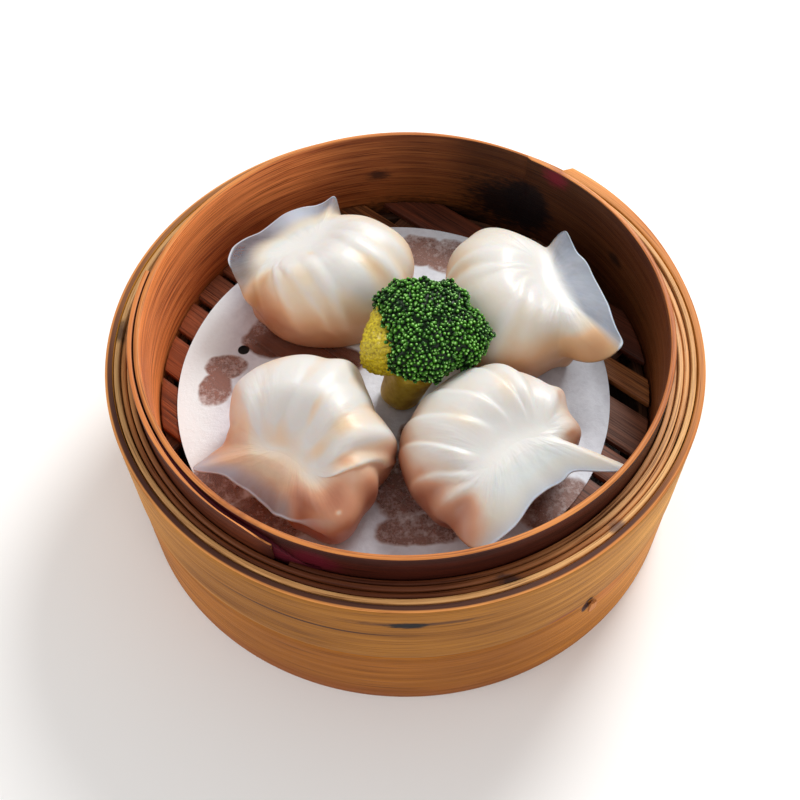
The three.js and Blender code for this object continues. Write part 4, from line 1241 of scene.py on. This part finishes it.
luck = random.Random(7)
cells, seats = {}, []
for _ in range(60000):
    out = Vector((luck.gauss(0, 1), luck.gauss(0, 1), luck.gauss(0, 1))).normalized()
    if out.z < -0.75:
        continue
    seat = on_crown(out, SUNK)
    cell = tuple(int(c // BUD_GAP) for c in seat)
    near = [s for i in (-1, 0, 1) for j in (-1, 0, 1) for k in (-1, 0, 1)
            for s in cells.get((cell[0] + i, cell[1] + j, cell[2] + k), ())]
    if all((seat - s).length > BUD_GAP for s in near):
        cells.setdefault(cell, []).append(seat)
        side_a = on_crown((out + out.orthogonal() * 0.01).normalized(), SUNK) - seat
        side_b = on_crown((out + out.cross(out.orthogonal()) * 0.01).normalized(), SUNK) - seat
        seats.append((seat, side_a.cross(side_b).normalized()))
points, faces, tips, tones = [], [], [], []
for seat, normal in seats:
    sway = Vector((luck.uniform(-1, 1), luck.uniform(-1, 1), luck.uniform(-1, 1))) * 0.42
    turned = (normal + sway).normalized().to_track_quat("Z", "Y").to_matrix()
    size = luck.uniform(0.74, 1.2)
    base = len(points)
    tone = luck.random()
    for p in bud_points:
        taper = 1 - 0.22 * max(p[2], 0)
        local = Vector((p[0] * BUD_R * taper, p[1] * BUD_R * taper, (p[2] + 0.35) * BUD_H)) * size
        points.append((turned @ local + seat) * MM)
        tips.append(max(p[2], 0.0))
        tones.append(tone)
    faces += [[base + v for v in face] for face in bud_faces]
all_buds = bpy.data.meshes.new("all_buds")
all_buds.from_pydata(points, [], faces)
for key, values in (("tip", tips), ("tone", tones)):
    all_buds.attributes.new(key, "FLOAT", "POINT").data.foreach_set("value", values)
heap = bpy.data.objects.new("all_buds", all_buds)
scene.collection.objects.link(heap)
bpy.ops.object.select_all(action="DESELECT")
heap.select_set(True)
crown.select_set(True)
bpy.context.view_layer.objects.active = crown
bpy.ops.object.join()
bpy.ops.object.shade_smooth()

bud_green, tree, shader = new_material("bud_green")
place = in_place(tree)
tip, tone = marked(tree, "tip"), marked(tree, "tone")
patches = grain(tree, place, (130, 130, 130), 2.0, 0.5)
mixed = plus(tree, times(tree, tone, 0.35), patches)
light = ramp(tree, mixed, [(0.45, paint(20, 78, 8)), (0.85, paint(84, 166, 28))])
# Painted shade: the buds' bases and the cushion between them are painted near-black green. Painted highlight: the
# tip of each bud is painted pale as a glint.
body = blend(tree, tip, paint(6, 32, 3), light)
glint = ramp(tree, plus(tree, tip, times(tree, tone, 0.14)), [(0.86, (0, 0, 0)), (1.02, (1, 1, 1))])
tree.links.new(blend(tree, glint, body, paint(158, 212, 122)), shader.inputs["Base Color"])
shader.inputs["Roughness"].default_value = 0.4
shader.inputs["Specular IOR Level"].default_value = 0.22
roughen(tree, shader, grain(tree, place, (2600, 2600, 2600), 2.0, 0.5), 0.3, 0.0002)
crown.data.materials.append(bud_green)
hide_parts("broccoli_floret")
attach(crown, "root")
